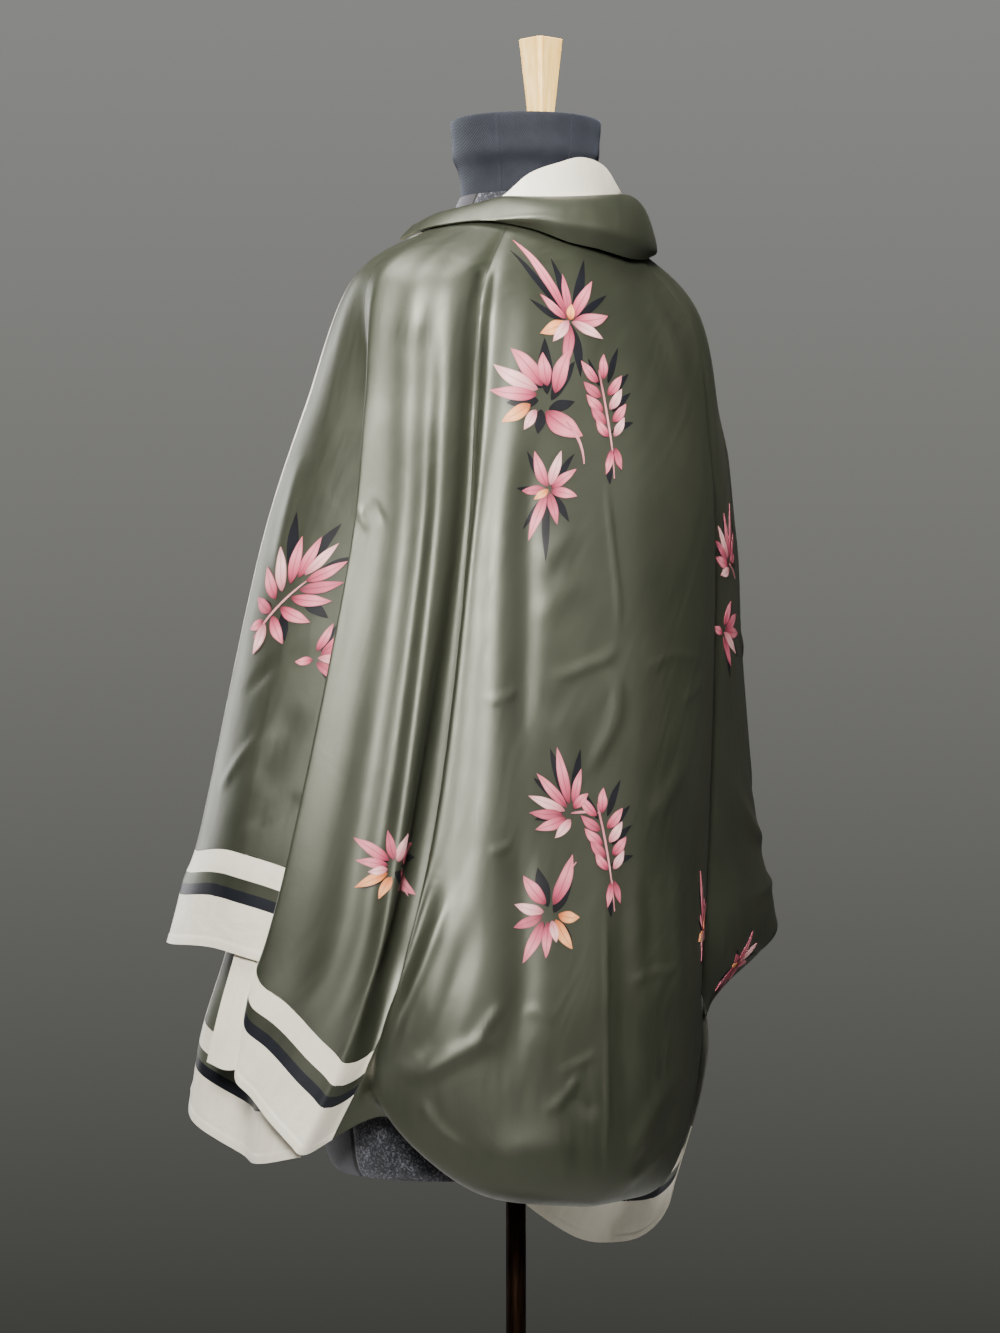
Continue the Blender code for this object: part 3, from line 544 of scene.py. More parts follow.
def addMesh(name, points, faces, materials, faceSlots=None, uv=None, sharp=50):
    # a mesh object from arrays of points and faces, smooth except at sharp edges
    mesh = bpy.data.meshes.new(name)
    mesh.from_pydata(points.tolist(), [], faces if isinstance(faces, list) else faces.tolist())
    for item in materials:
        mesh.materials.append(item)
    if faceSlots is not None:
        mesh.polygons.foreach_set("material_index", np.asarray(faceSlots, np.int32))
    if uv is not None:
        layer = mesh.uv_layers.new(name="cloth")
        corners = np.empty(len(mesh.loops), np.int32)
        mesh.loops.foreach_get("vertex_index", corners)
        layer.data.foreach_set("uv", uv[corners].astype(np.float32).ravel())
    mesh.polygons.foreach_set("use_smooth", np.ones(len(mesh.polygons), bool))
    mesh.update()
    mesh.set_sharp_from_angle(angle=radians(sharp))
    made = bpy.data.objects.new(name, mesh)
    bpy.context.scene.collection.objects.link(made)
    return made


def shellFaces(columns, rows):
    # quads of a closed wall on a grid: the outer face, the inner face and the rim
    grid = np.arange(columns * rows).reshape(columns, rows)
    a, b, c, d = grid[:-1, :-1], grid[1:, :-1], grid[1:, 1:], grid[:-1, 1:]
    outer = np.stack([a, d, c, b], -1).reshape(-1, 4)
    total = columns * rows
    inner = outer[:, ::-1] + total
    loop = np.concatenate([grid[:-1, 0], grid[-1, :-1], grid[:0:-1, -1], grid[0, :0:-1]])
    after = np.roll(loop, -1)
    rim = np.stack([loop, after, after + total, loop + total], -1)
    return outer, inner, rim


def addShell(name, points, normals, uv, face, reverse, thickness=None, swell=0, columnSlots=None):
    # a thin closed wall: points moved half the thickness both ways along their normals
    half = (stole["thickness"] if thickness is None else thickness) / 2 + np.asarray(swell)
    half = np.broadcast_to(half, points.shape[:2])[..., None]
    columns, rows = points.shape[:2]
    outer, inner, rim = shellFaces(columns, rows)
    both = np.concatenate([(points + normals * half).reshape(-1, 3),
                           (points - normals * half).reshape(-1, 3)])
    slots = np.zeros((columns - 1, rows - 1), int) if columnSlots is None else columnSlots
    count = len(face)
    faceSlots = np.concatenate([slots.ravel(), slots.ravel() + count, np.zeros(len(rim), int)])
    faces = np.concatenate([outer, inner, rim])
    return addMesh(name, both, faces, list(face) + list(reverse), faceSlots,
                   np.tile(uv.reshape(-1, 2), (2, 1)))


def clothUv(sheet, u, v):
    # across the cloth and up from its end, in metres
    across = sample(sheet, "across", u, v)
    down = sample(sheet, "down", u, v)
    return np.stack([across, sample(sheet, "down", u, np.ones_like(v)) - down], -1)


def hemSwell(distance):
    # a turned hem: a little thicker within 7 mm of the edge, pulled in along its stitches
    turned = .00035 * (1 - smooth((distance - .0062) / .002))
    return turned - .00022 * np.exp(-((distance - .0072) / .0009) ** 2)


pieces = {}


def clothPiece(name, sheet, low, high, columns, curves, face, reverse, hemSide=None, hemEnd=False,
               striped=False):
    u, v = cutCloth(sheet, low, high, columns, curves)
    points, normals = sample(sheet, "points", u, v), sample(sheet, "normals", u, v)
    normals /= np.linalg.norm(normals, axis=-1, keepdims=True)
    uv = clothUv(sheet, u, v)
    hem = np.full(u.shape, 1.0)
    if hemEnd:
        hem = np.minimum(hem, uv[..., 1])
    if hemSide == "first":
        hem = np.minimum(hem, uv[..., 0])
    if hemSide == "last":
        hem = np.minimum(hem, sample(sheet, "across", np.full_like(u, sheet["u"][-1]), v) - uv[..., 0])
    slots = None
    if striped:
        mid = (uv[1:, 1:, 1] + uv[:-1, :-1, 1]) / 2
        ivoryTop, blackTop, greenTop = stole["stripes"]
        slots = np.where(mid < ivoryTop, 0, np.where(mid < blackTop, 1, np.where(mid < greenTop, 2, 0)))
    made = addShell(name, points, normals, uv, face, reverse, swell=hemSwell(hem), columnSlots=slots)
    pieces[name] = {"object": made, "sheet": sheet, "low": u.min(), "high": u.max()}
    across = np.linalg.norm(np.diff(points, axis=0), axis=-1).sum(0)
    down = np.linalg.norm(np.diff(points, axis=1), axis=-1).sum(1)
    cells = np.linalg.norm(np.cross(points[1:, :-1] - points[:-1, :-1],
                                    points[:-1, 1:] - points[:-1, :-1]), axis=-1)
    print(f"{name}: across {across.min():.3f} to {across.max():.3f}, "
          f"down {down.min():.3f} to {down.max():.3f}, area {cells.sum():.4f}")
    return made


def pleatDepth(u, v):
    # the deep pleat between the hanging end and the back: a trough in the fold, 5 mm at the chest and
    # 19 mm by the waist, wider on the hanging end's side, closing again at the hem
    depth = .005 * smooth((v - .06) / .2) + .014 * smooth((v - .42) / .25)
    away = u - stole["pleatFold"]
    return -depth * np.exp(-(away / np.where(away < 0, .95, .55)) ** 2) * smooth((.93 - v) / .15)


main = clothSheet([foldLine(row) for row in mainFolds], stole["mainKnots"], 18, 400,
                  mainCreases, pleatDepth, (3.5, 6))
right = clothSheet([foldLine(row) for row in rightFolds], stole["rightKnots"], 40, 420, rightCreases)
wing = clothSheet(plainLines(wingFolds), stole["wingKnots"], 30, 300, wingCreases)
under = clothSheet(plainLines(underFolds), None, 20, 100)
collar = clothSheet(ringLines(collarRings), stole["collarKnots"], 20, 60)
border = clothSheet(ringLines(neckRings), None, 20, 40)
print("cloth surfaces ready")

gap = stole["seam"] / 2
green, plain = (greenSatin,), (greenReverse,)
ivory = (ivorySatin,)
bandFace = (ivorySatin, blackSatin, greenSatin)
bandReverse = (ivorySatin, blackSatin, greenReverse)

mainTop = levelsBetween(main, 0, fromEnd(main, stole["band"] + gap), 230)
bandCurves = {name: np.array([fromEnd(sheet, d) for d in stole["bandRows"]])
              for name, sheet in (("main", main), ("right", right), ("wing", wing))}
flapEnd, drapeStart = beside(main, stole["underFold"], -gap), beside(main, stole["underFold"], gap)
drapeEnd, backStart = beside(main, stole["pleatFold"], -gap), beside(main, stole["pleatFold"], gap)
borderIn = fromSide(main, stole["border"], -gap, 3)
borderOut = fromSide(main, stole["border"], gap, 3)
hemColumns = np.concatenate([[0, .04, .1, .17, .22, .26, .3, .36], np.linspace(.45, 1, 5)])

clothPiece("left_flap_border", main, 0, borderIn, hemColumns, mainTop, ivory, ivory, "first")
clothPiece("left_flap", main, borderOut, flapEnd, 34, mainTop, green, plain)
clothPiece("left_flap_band", main, 0, flapEnd, 44, bandCurves["main"], bandFace, bandReverse,
           "first", True, True)
clothPiece("left_drape", main, drapeStart, drapeEnd, 110, mainTop, green, plain)
clothPiece("left_drape_band", main, drapeStart, drapeEnd, 110, bandCurves["main"], bandFace, bandReverse,
           None, True, True)
clothPiece("back_panel", main, backStart, 21, 150, levelsBetween(main, 0, 1, 300), green, plain)

borderIn = fromSide(wing, stole["border"], -gap, 4)
borderOut = fromSide(wing, stole["border"], gap, 4)
wingTop = levelsBetween(wing, 0, fromEnd(wing, stole["band"] + gap), 130)
clothPiece("left_wing_border", wing, 0, borderIn, hemColumns, wingTop, ivory, ivory, "first")
clothPiece("left_wing", wing, borderOut, 4, 26, wingTop, plain, plain)
clothPiece("left_wing_band", wing, 0, 4, 40, bandCurves["wing"], bandReverse, bandReverse,
           "first", True, True)
clothPiece("left_underlap", under, 0, 2, 18, levelsBetween(under, 0, 1, 50), ivory, ivory, "last", True)

borderIn = fromSide(right, stole["border"], -gap, 3, last=True)
borderOut = fromSide(right, stole["border"], gap, 3, last=True)
rightTop = levelsBetween(right, 0, fromEnd(right, stole["band"] + gap), 240)
clothPiece("right_side", right, 0, borderOut, 100, rightTop, green, plain)
clothPiece("right_side_border", right, borderIn, 6, 1 - hemColumns[::-1], rightTop, ivory, ivory, "last")
clothPiece("right_side_band", right, 0, 6, 100, bandCurves["right"], bandFace, bandReverse,
           "last", True, True)
clothPiece("collar_roll", collar, 0, len(collarRings) - 1, 160, levelsBetween(collar, 0, 1, 24), green, plain)
clothPiece("neck_border", border, 0, len(neckRings) - 1, 120, levelsBetween(border, 0, 1, 14), ivory, ivory)
print("cloth pieces built")

# the printed flowers: each motif is a list of petals, in millimetres from its middle
# petal: dye, foot x, foot y (up), compass heading, length, width, bend
motifs = {
    "star": [
        ("navy", -3, 2, -44, 52, 7, .2), ("navy", -1, 4, -12, 40, 7, -.1), ("navy", 3, 3, 14, 47, 8, .1),
        ("navy", 5, 1, 44, 36, 6, .2), ("navy", 1, -3, 158, 33, 8, .2), ("navy", -5, -3, -76, 25, 5, .2),
        ("rose", 0, 3, -8, 33, 7, .1), ("pink", -2, 2, -31, 67, 9, -.12), ("pink", 2, 2, 27, 40, 9, .15),
        ("rose", 0, -3, 178, 32, 9, .1), ("pink", 3, 0, 71, 33, 11, -.2), ("pale", 2, -1, 99, 27, 9, .2),
        ("pink", -3, 0, -62, 24, 8, .2), ("orange", -1, -3, -122, 25, 10, -.1),
        ("pale", -1, -1, -150, 21, 8, 0),
        ("orange", 0, 0, 8, 13, 7, 0),
    ],
    "cluster": [
        ("navy", 0, 8, -58, 24, 12, .2), ("navy", 4, 4, -14, 34, 12, .1), ("navy", 8, 0, 20, 30, 10, .2),
        ("navy", -2, -2, -104, 20, 10, 0), ("navy", 7, -7, 64, 18, 9, 0), ("navy", 1, -8, 176, 15, 9, .1),
        ("pink", -1, 9, -50, 33, 13, -.3), ("pale", -4, 6, -78, 35, 11, .3), ("pink", -4, 2, -98, 33, 10, .2),
        ("pink", 3, 10, -22, 23, 11, .2), ("orange", -8, -6, -132, 23, 10, .1),
        ("pale", -3, -9, -158, 16, 8, 0),
        ("pink", 10, 6, 6, 33, 12, .3), ("pink", 5, -9, 118, 33, 17, -.3),
        ("stem", 22, -14, 138, 36, 2.2, .7),
    ],
    "buds": [
        ("navy", 4, 24, 24, 25, 6, .2), ("navy", 7, 14, 44, 20, 6, .2), ("navy", 6, 2, 52, 19, 6, .2),
        ("navy", 4, -14, 70, 18, 6, .3), ("navy", -4, 22, -26, 18, 5, .1), ("navy", 0, -34, 176, 16, 6, 0),
        ("stem", -4, 34, 172, 78, 1.6, .15),
        ("pink", -5, 25, -48, 20, 8, .3), ("pink", 0, 27, 4, 18, 8, .2), ("rose", -3, 14, -58, 18, 8, .3),
        ("pink", 3, 15, 48, 19, 8, -.2), ("pink", -2, 3, -52, 18, 8, .3), ("pale", 4, 4, 42, 18, 8, -.2),
        ("rose", 0, -7, -46, 17, 8, .3), ("pink", 6, -6, 48, 17, 8, -.2), ("pink", 1, -17, -38, 16, 7, .3),
        ("pale", 6, -17, 40, 16, 7, -.2), ("pink", 3, -27, -168, 18, 6, .2), ("rose", 6, -26, 164, 17, 6, 0),
    ],
    "small": [
        ("navy", -1, 3, -46, 27, 5, .2), ("navy", 2, 2, 22, 24, 6, .1), ("navy", 3, -3, 138, 22, 6, .2),
        ("navy", 0, -5, 174, 40, 6, .1), ("navy", -3, -1, -88, 18, 5, 0), ("navy", -2, -6, -152, 22, 5, 0),
        ("pink", -1, 2, -36, 28, 8, .2), ("pale", 1, 3, 2, 25, 8, .1), ("pink", 2, 1, 44, 21, 8, .1),
        ("pink", 2, -1, 96, 20, 8, .2), ("rose", -2, 0, -96, 17, 7, 0), ("pink", -1, -2, -168, 34, 8, .1),
        ("rose", 1, -2, 156, 24, 7, .1), ("orange", 0, 0, -130, 11, 6, 0),
    ],
    "spray": [
        ("navy", 0, 16, -14, 44, 12, .3), ("navy", 10, 24, 30, 34, 10, .2), ("navy", 18, 16, 62, 30, 9, .2),
        ("navy", -16, -8, -80, 16, 8, 0), ("navy", 12, -4, 118, 24, 9, .2), ("navy", -4, -14, 158, 20, 8, .2),
        ("stem", -30, -34, 40, 66, 2.2, .3),
        ("pink", -13, -2, -38, 30, 11, .3), ("pale", -8, 4, -18, 35, 11, .2), ("pink", -1, 10, 0, 36, 11, .2),
        ("pink", 5, 15, 20, 33, 10, .1), ("pale", 10, 17, 42, 32, 9, 0), ("pink", 12, 12, 66, 33, 10, -.2),
        ("rose", 8, 5, 84, 34, 10, -.2), ("pink", 2, -1, 100, 33, 10, -.3),
        ("pink", -6, -9, 118, 29, 10, -.3),
        ("rose", -15, -13, -62, 22, 10, .3), ("pink", -13, -16, 148, 26, 10, -.2),
        ("pale", -20, -22, -170, 24, 11, .2),
        ("pink", -22, -20, -118, 15, 9, .2),
    ],
    "fan": [
        ("navy", 6, 2, -22, 40, 10, .1), ("navy", 4, 0, -54, 32, 9, .1), ("navy", 10, 4, 8, 37, 8, .1),
        ("navy", 0, -8, -100, 22, 8, 0), ("stem", 8, -8, 82, 26, 2.2, .3),
        ("pink", 4, -3, -44, 38, 9, .1), ("pink", 6, 0, -14, 46, 10, .1), ("pale", 2, -6, -68, 34, 9, .1),
        ("pink", 10, 0, 12, 30, 8, .1), ("rose", 0, -9, -88, 29, 9, .2), ("pink", 3, -12, -112, 28, 10, .3),
        ("pale", 7, -13, -142, 20, 9, .3), ("pink", 10, -4, 42, 19, 8, .1),
    ],
    "tulip": [
        ("navy", -2, 4, -22, 26, 11, .1), ("navy", 3, 0, 24, 26, 11, .1), ("navy", -4, -8, -158, 26, 8, 0),
        ("navy", 6, -6, 142, 22, 8, .2), ("stem", 10, 24, 24, 16, 2, .4),
        ("pink", 2, 6, 22, 38, 12, -.3), ("pink", -4, 6, -48, 26, 11, .3), ("pale", -5, 0, -88, 22, 9, .2),
        ("rose", -6, -3, -124, 24, 8, .1), ("pink", -5, -7, -162, 35, 9, .1), ("pink", -1, -7, 178, 26, 8, 0),
        ("orange", 5, -5, 148, 27, 9, -.2), ("orange", 7, -1, 108, 18, 9, -.2),
        ("pale", 2, -6, 162, 16, 7, 0),
    ],
    "half": [
        ("navy", 2, 0, 96, 34, 8, .1), ("navy", 0, -4, 138, 30, 8, .1), ("navy", 0, 5, 20, 22, 7, .1),
        ("pink", 0, 4, 50, 36, 10, -.1), ("pink", 0, 2, 72, 38, 10, 0), ("pale", -2, 0, 98, 34, 9, .1),
        ("pink", -4, 6, 22, 26, 9, 0), ("rose", -2, -4, 126, 28, 9, .1), ("pink", -6, -2, -96, 16, 8, .1),
    ],
}
# where each motif is printed: cloth piece, motif, fold, level, turn in degrees, scale
flowers = [
    ("back_panel", "star", 14.38, .144, 0, 1.0), ("back_panel", "cluster", 13.75, .245, 0, 1.0),
    ("back_panel", "buds", 16.62, .252, -10, 1.0), ("back_panel", "small", 14.75, .372, 0, 1.0),
    ("back_panel", "fan", 15.5, .632, 0, .85), ("back_panel", "buds", 17.0, .664, -4, .95),
    ("back_panel", "tulip", 15.12, .706, 4, .95), ("back_panel", "star", 20.3, .741, 20, .62),
    ("left_flap", "spray", 2.0, .474, 0, .92), ("left_flap", "half", 2.45, .516, 0, .8),
    ("left_drape", "tulip", 8.2, .683, 100, .9),
    ("right_side", "fan", .95, .374, 30, .85), ("right_side", "half", .80, .43, 20, .9),
    ("right_side", "small", 1.2, .70, 40, .9), ("right_side", "cluster", 3.0, .22, 20, 1.0),
    ("right_side", "star", 4.2, .34, -20, 1.0), ("right_side", "buds", 2.6, .40, 16, 1.0),
    ("right_side", "spray", 4.5, .60, -60, 1.0), ("right_side", "tulip", 3.0, .62, 10, .95),
    ("right_side", "fan", 2.1, .82, 0, .9), ("right_side", "small", 4.7, .84, 0, .9),
    ("left_wing", "half", 1.6, .40, 180, .7), ("left_wing", "small", 2.4, .64, 0, .8),
]
dyes = {
    "pink": ("#63222f", "#ad4a5d", "#cc7983", "#b85d6a"),
    "rose": ("#5d2430", "#94404f", "#b4596a", "#9c4a59"),
    "pale": ("#95505a", "#c58285", "#dcaca8", "#c88c8e"),
    "orange": ("#94492a", "#cd7b46", "#e09d69", "#cc8152"),
    "navy": ("#07080b", "#0b0c10", "#101218", "#08090d"),
    "stem": ("#9c525c", "#b8737a", "#c08486", "#ac6a70"),
}


def dyed(name, tones):
    # hand-painted dye on satin: darker foot, a paler belly, brushed streaks and a fine midrib
    made, tree, shader = newMaterial(name + "_dye_on_satin", {"Roughness": .52, "Specular IOR Level": .32,
                                                              "Specular Tint": linear("#f6efe6")})
    uv = addNode(tree, "UVMap", {"uv_map": "cloth"}).outputs["UV"]
    parts = addNode(tree, "SeparateXYZ", links={"Vector": uv})
    drawn = addNode(tree, "Mapping", {"Scale": (5, .9, 1)}, {"Vector": uv})
    brush = addNode(tree, "TexNoise", {"Scale": 2.2, "Detail": 3, "Roughness": .6},
                    {"Vector": drawn.outputs[0]})
    place = addNode(tree, "Math", {"operation": "MULTIPLY_ADD", 1: .34},
                    {0: brush.outputs["Fac"], 2: parts.outputs["Y"]})
    shift = addNode(tree, "Math", {"operation": "SUBTRACT", 1: .17}, {0: place.outputs[0]})
    body = ramp(tree, shift.outputs[0], [(.02, tones[0]), (.26, tones[1]), (.62, tones[2]), (.98, tones[3])])
    across = addNode(tree, "Math", {"operation": "FRACT"}, {0: parts.outputs["X"]})
    aside = addNode(tree, "Math", {"operation": "SUBTRACT", 1: .5}, {0: across.outputs[0]})
    away = addNode(tree, "Math", {"operation": "ABSOLUTE"}, {0: aside.outputs[0]})
    rib = addNode(tree, "MapRange", {"From Min": .015, "From Max": .07, "To Min": .55, "To Max": 0},
                  {"Value": away.outputs[0]})
    rim = addNode(tree, "MapRange", {"From Min": .38, "From Max": .5, "To Min": 0, "To Max": .4},
                  {"Value": away.outputs[0]})
    dark = addNode(tree, "Math", {"operation": "MAXIMUM"}, {0: rib.outputs[0], 1: rim.outputs[0]})
    mixed = addNode(tree, "Mix", {"data_type": "RGBA", 7: linear(tones[0])}, {0: dark.outputs[0], 6: body})
    tree.links.new(mixed.outputs[2], shader.inputs["Base Color"])
    bump = addNode(tree, "Bump", {"Strength": .5, "Distance": .0001}, {"Height": brush.outputs["Fac"]})
    tree.links.new(bump.outputs[0], shader.inputs["Normal"])
    return made


dyeMaterials = {name: dyed(name, tones) for name, tones in dyes.items()}
print("dyes ready")


def petalOutline(row, turn, scale):
    # a petal's own grid: its rib is an arc of even steps, its width s^.8 (1 - s)^1.05, sides a little uneven
    dye, x, y, heading, length, width, bend = row
    length = length * (1.22 if dye == "navy" else 1.08)
    steps = int(length * scale / 2.2) + 7
    s = np.linspace(0, 1, steps)[:, None]
    t = np.linspace(-1, 1, 7)[None, :]
    bearing = radians(heading + turn) + bend * (s - .3)
    step = length * scale / (steps - 1)
    foot = np.array([x, y]) * scale
    c, d = np.cos(radians(turn)), np.sin(radians(turn))
    ribX = foot[0] * c + foot[1] * d + np.cumsum(np.sin(bearing), 0) * step - np.sin(bearing[:1]) * step
    ribY = -foot[0] * d + foot[1] * c + np.cumsum(np.cos(bearing), 0) * step - np.cos(bearing[:1]) * step
    full = s ** .8 * (1 - s) ** 1.05 / .29 if dye != "stem" else .35 + .65 * np.sin(pi * s ** .6)
    full = full * (1 + .05 * np.sin(9 * s + heading) * np.sign(t)) + .012
    half = width * scale / 2 * full
    return ribX + half * t * np.cos(bearing), ribY - half * t * np.sin(bearing), s, t


def layOnCloth(sheet, u0, v0, x, y, low, high):
    # from flat millimetres to fold and level: down its own fold line first, then across at that level
    fold = np.full(x.shape, float(u0))
    start = sample(sheet, "down", np.array([u0]), np.array([v0]))[0]
    i = min(int(u0 * sheet["perFold"]), len(sheet["u"]) - 2)
    v = np.interp(start - y / 1000, sheet["down"][i], sheet["v"])
    target = sample(sheet, "across", fold, v) + x / 1000
    u = fold
    for _ in range(12):
        off = target - sample(sheet, "across", u, v)
        rate = np.maximum(sample(sheet, "rate", u, v), 1e-4)
        u = np.clip(u + np.clip(off / rate, -.3, .3), low - .2, high + .2)
    # cloth past a seam or edge is cut: what is left of a petal there is squeezed against the edge
    inside = np.clip(u, low, high)
    return np.clip(inside + .004 * (u - inside), low - .02, high + .02), v


def printFlowers(name, rows):
    piece = pieces[name]
    sheet = piece["sheet"]
    if "rate" not in sheet:
        sheet["rate"] = np.gradient(sheet["across"], axis=0) * sheet["perFold"]
    allPoints, allFaces, allSlots, allUv, start, layer = [], [], [], [], 0, 0
    names = list(dyes)
    for _, motif, u0, v0, turn, scale in rows:
        for k, row in enumerate(motifs[motif]):
            x, y, s, t = petalOutline(row, turn, scale)
            u, v = layOnCloth(sheet, u0, v0, x, y, piece["low"], piece["high"])
            points, normals = sample(sheet, "points", u, v), sample(sheet, "normals", u, v)
            normals /= np.linalg.norm(normals, axis=-1, keepdims=True)
            under = stole["thickness"] / 2 + .00006
            over = stole["thickness"] / 2 + .00020 + .00004 * k
            grid = np.concatenate([(points + normals * over).reshape(-1, 3),
                                   (points + normals * under).reshape(-1, 3)])
            outer, inner, rim = shellFaces(*x.shape)
            faces = np.concatenate([outer, inner, rim]) + start
            allFaces.append(faces)
            allPoints.append(grid)
            allSlots.append(np.full(len(faces), names.index(row[0])))
            uv = np.stack([t / 2 + .5 + layer + 0 * s, s + 0 * t], -1).reshape(-1, 2)
            allUv.append(np.tile(uv, (2, 1)))
            start += len(grid)
            layer += 1
    made = addMesh(name + "_flowers", np.concatenate(allPoints), np.concatenate(allFaces),
                   [dyeMaterials[n] for n in names], np.concatenate(allSlots), np.concatenate(allUv))
    print(f"{name}: {layer} petals, {len(made.data.polygons)} faces")
    return made


prints = {}
for name in ("back_panel", "left_flap", "left_drape", "right_side", "left_wing"):
    prints[name] = printFlowers(name, [row for row in flowers if row[0] == name])


# Dress form and stand

# height, half width, half depth, y of the centre
formRings = [
    (0.720, 0.1480, 0.1080, -0.014),
    (0.728, 0.1530, 0.1130, -0.014),
    (0.745, 0.1565, 0.1165, -0.014),
    (0.790, 0.1610, 0.1200, -0.014),
    (0.860, 0.1610, 0.1200, -0.012),
    (0.950, 0.1500, 0.1120, -0.008),
    (1.050, 0.1280, 0.0980, -0.004),
    (1.120, 0.1320, 0.1000, -0.003),
    (1.220, 0.1530, 0.1120, -0.004),
    (1.300, 0.1620, 0.1080, -0.002),
    (1.350, 0.1600, 0.0960, 0.000),
    (1.378, 0.1500, 0.0860, 0.001),
    (1.395, 0.1340, 0.0760, 0.002),
    (1.410, 0.1120, 0.0680, 0.004),
    (1.426, 0.0840, 0.0600, 0.006),
    (1.445, 0.0580, 0.0535, 0.008),
    (1.4577, 0.0500, 0.0500, 0.009),
]
neckRows = [
    (1.4580, 0.0490, 0.0490, 0.009),
    (1.4700, 0.0495, 0.0495, 0.009),
    (1.4790, 0.0515, 0.0515, 0.009),
    (1.4880, 0.0560, 0.0560, 0.010),
    (1.5000, 0.0566, 0.0566, 0.010),
    (1.5090, 0.0575, 0.0575, 0.010),
    (1.5145, 0.0577, 0.0577, 0.010),
    (1.5163, 0.0570, 0.0570, 0.010),
    (1.5166, 0.0556, 0.0556, 0.010),
    (1.5150, 0.0545, 0.0545, 0.010),
    (1.5125, 0.0535, 0.0535, 0.010),
]
form = {
    "seams": (0, 38, 86, 142, 180, 218, 274, 322),   # princess and side seams, degrees
    "seamDepth": .0011, "seamWidth": .0020,
    "sideSeam": 86,
    "wool": ("#0a0a0b", "#1a1a1d", "#66666d"),
    # front and sides: a brownish wool, its darker tones painted shade where the form's side falls in shadow
    "frontWoolShaded": ("#0d0b0a", "#151210", "#221e1b"),
    "fleckPerMetre": 520,        # 2 mm flecks of lighter fibre
    "neckSeams": (110, 250),
    "twill": ("#14151a", "#1b1c22", "#25272d"),
    "twillPerMetre": 1700,       # 0.6 mm twill line
    "placket": {"from": 168, "to": 203, "top": (1.5160, 1.5120, 1.5050, 1.4960), "foot": 1.462,
                "lift": .0014, "thickness": .0012},
}


def closedRings(rows, azimuth, seamAt, depth, width, between):
    # level ovals: x = half width sin a, y = centre - half depth cos a, joined by a cubic up the rows,
    # pulled in by a bell at each seam and closed with a fan to the middle of both ends
    table = np.array(rows, float)
    t = np.arange((len(table) - 1) * between + 1) / between
    heights, wide, deep, centre = cubic(np.arange(len(table)), table, t).T
    heights[0], heights[-1] = table[0, 0], table[-1, 0]
    turn = np.radians(azimuth)[:, None]
    apart = np.degrees((np.radians(azimuth[:, None] - np.array(seamAt)) + pi) % (2 * pi) - pi)
    pull = (np.exp(-(np.radians(apart) * .15 / width) ** 2)).sum(1)[:, None] * depth
    x, y = (wide - pull) * np.sin(turn), centre - (deep - pull) * np.cos(turn)
    points = np.stack([x, y, heights + 0 * x], -1)
    around, rings = points.shape[:2]
    grid = np.arange(around * rings).reshape(around, rings)
    after = np.roll(grid, -1, axis=0)
    walls = np.stack([grid[:, :-1], after[:, :-1], after[:, 1:], grid[:, 1:]], -1).reshape(-1, 4)
    ends = [[a, b, around * rings] for a, b in zip(after[:, 0].tolist(), grid[:, 0].tolist())]
    ends += [[a, b, around * rings + 1] for a, b in zip(grid[:, -1].tolist(), after[:, -1].tolist())]
    middle = np.array([(0, centre[0], heights[0]), (0, centre[-1], heights[-1])])
    return np.concatenate([points.reshape(-1, 3), middle]), walls.tolist() + ends, around, rings


def aroundWithSeams(count, seamAt, width):
    # even azimuths, with extra ones close to each seam
    near = np.array([-1.6, -.9, -.45, 0, .45, .9, 1.6]) * width
    extra = (np.array(seamAt)[:, None] + near[None]).ravel() % 360
    even = np.arange(count) * 360 / count
    clear = np.abs((even[:, None] - np.array(seamAt)[None] + 180) % 360 - 180).min(1) > 1.8 * width
    return np.sort(np.concatenate([even[clear], extra]))


def wool(name, tones):
    # melange wool: napped, matt, with lighter and darker fibre flecks
    made, tree, shader = newMaterial(name, {"Roughness": .92, "Specular IOR Level": .2, "Sheen Weight": .35,
                                            "Sheen Roughness": .6, "Sheen Tint": linear("#b9b9c0")})
    here = addNode(tree, "TexCoord").outputs["Object"]
    fleck = addNode(tree, "TexNoise", {"Scale": form["fleckPerMetre"], "Detail": 3, "Roughness": .7},
                    {"Vector": here})
    cloud = addNode(tree, "TexNoise", {"Scale": 60, "Detail": 3, "Roughness": .6}, {"Vector": here})
    both = addNode(tree, "Mix", {"data_type": "FLOAT", 0: .3},
                   {2: fleck.outputs["Fac"], 3: cloud.outputs["Fac"]})
    tree.links.new(ramp(tree, both.outputs[0], [(.38, tones[0]), (.5, tones[1]), (.66, tones[2])]),
                   shader.inputs["Base Color"])
    bump = addNode(tree, "Bump", {"Strength": 1, "Distance": .0005}, {"Height": both.outputs[0]})
    tree.links.new(bump.outputs[0], shader.inputs["Normal"])
    return made


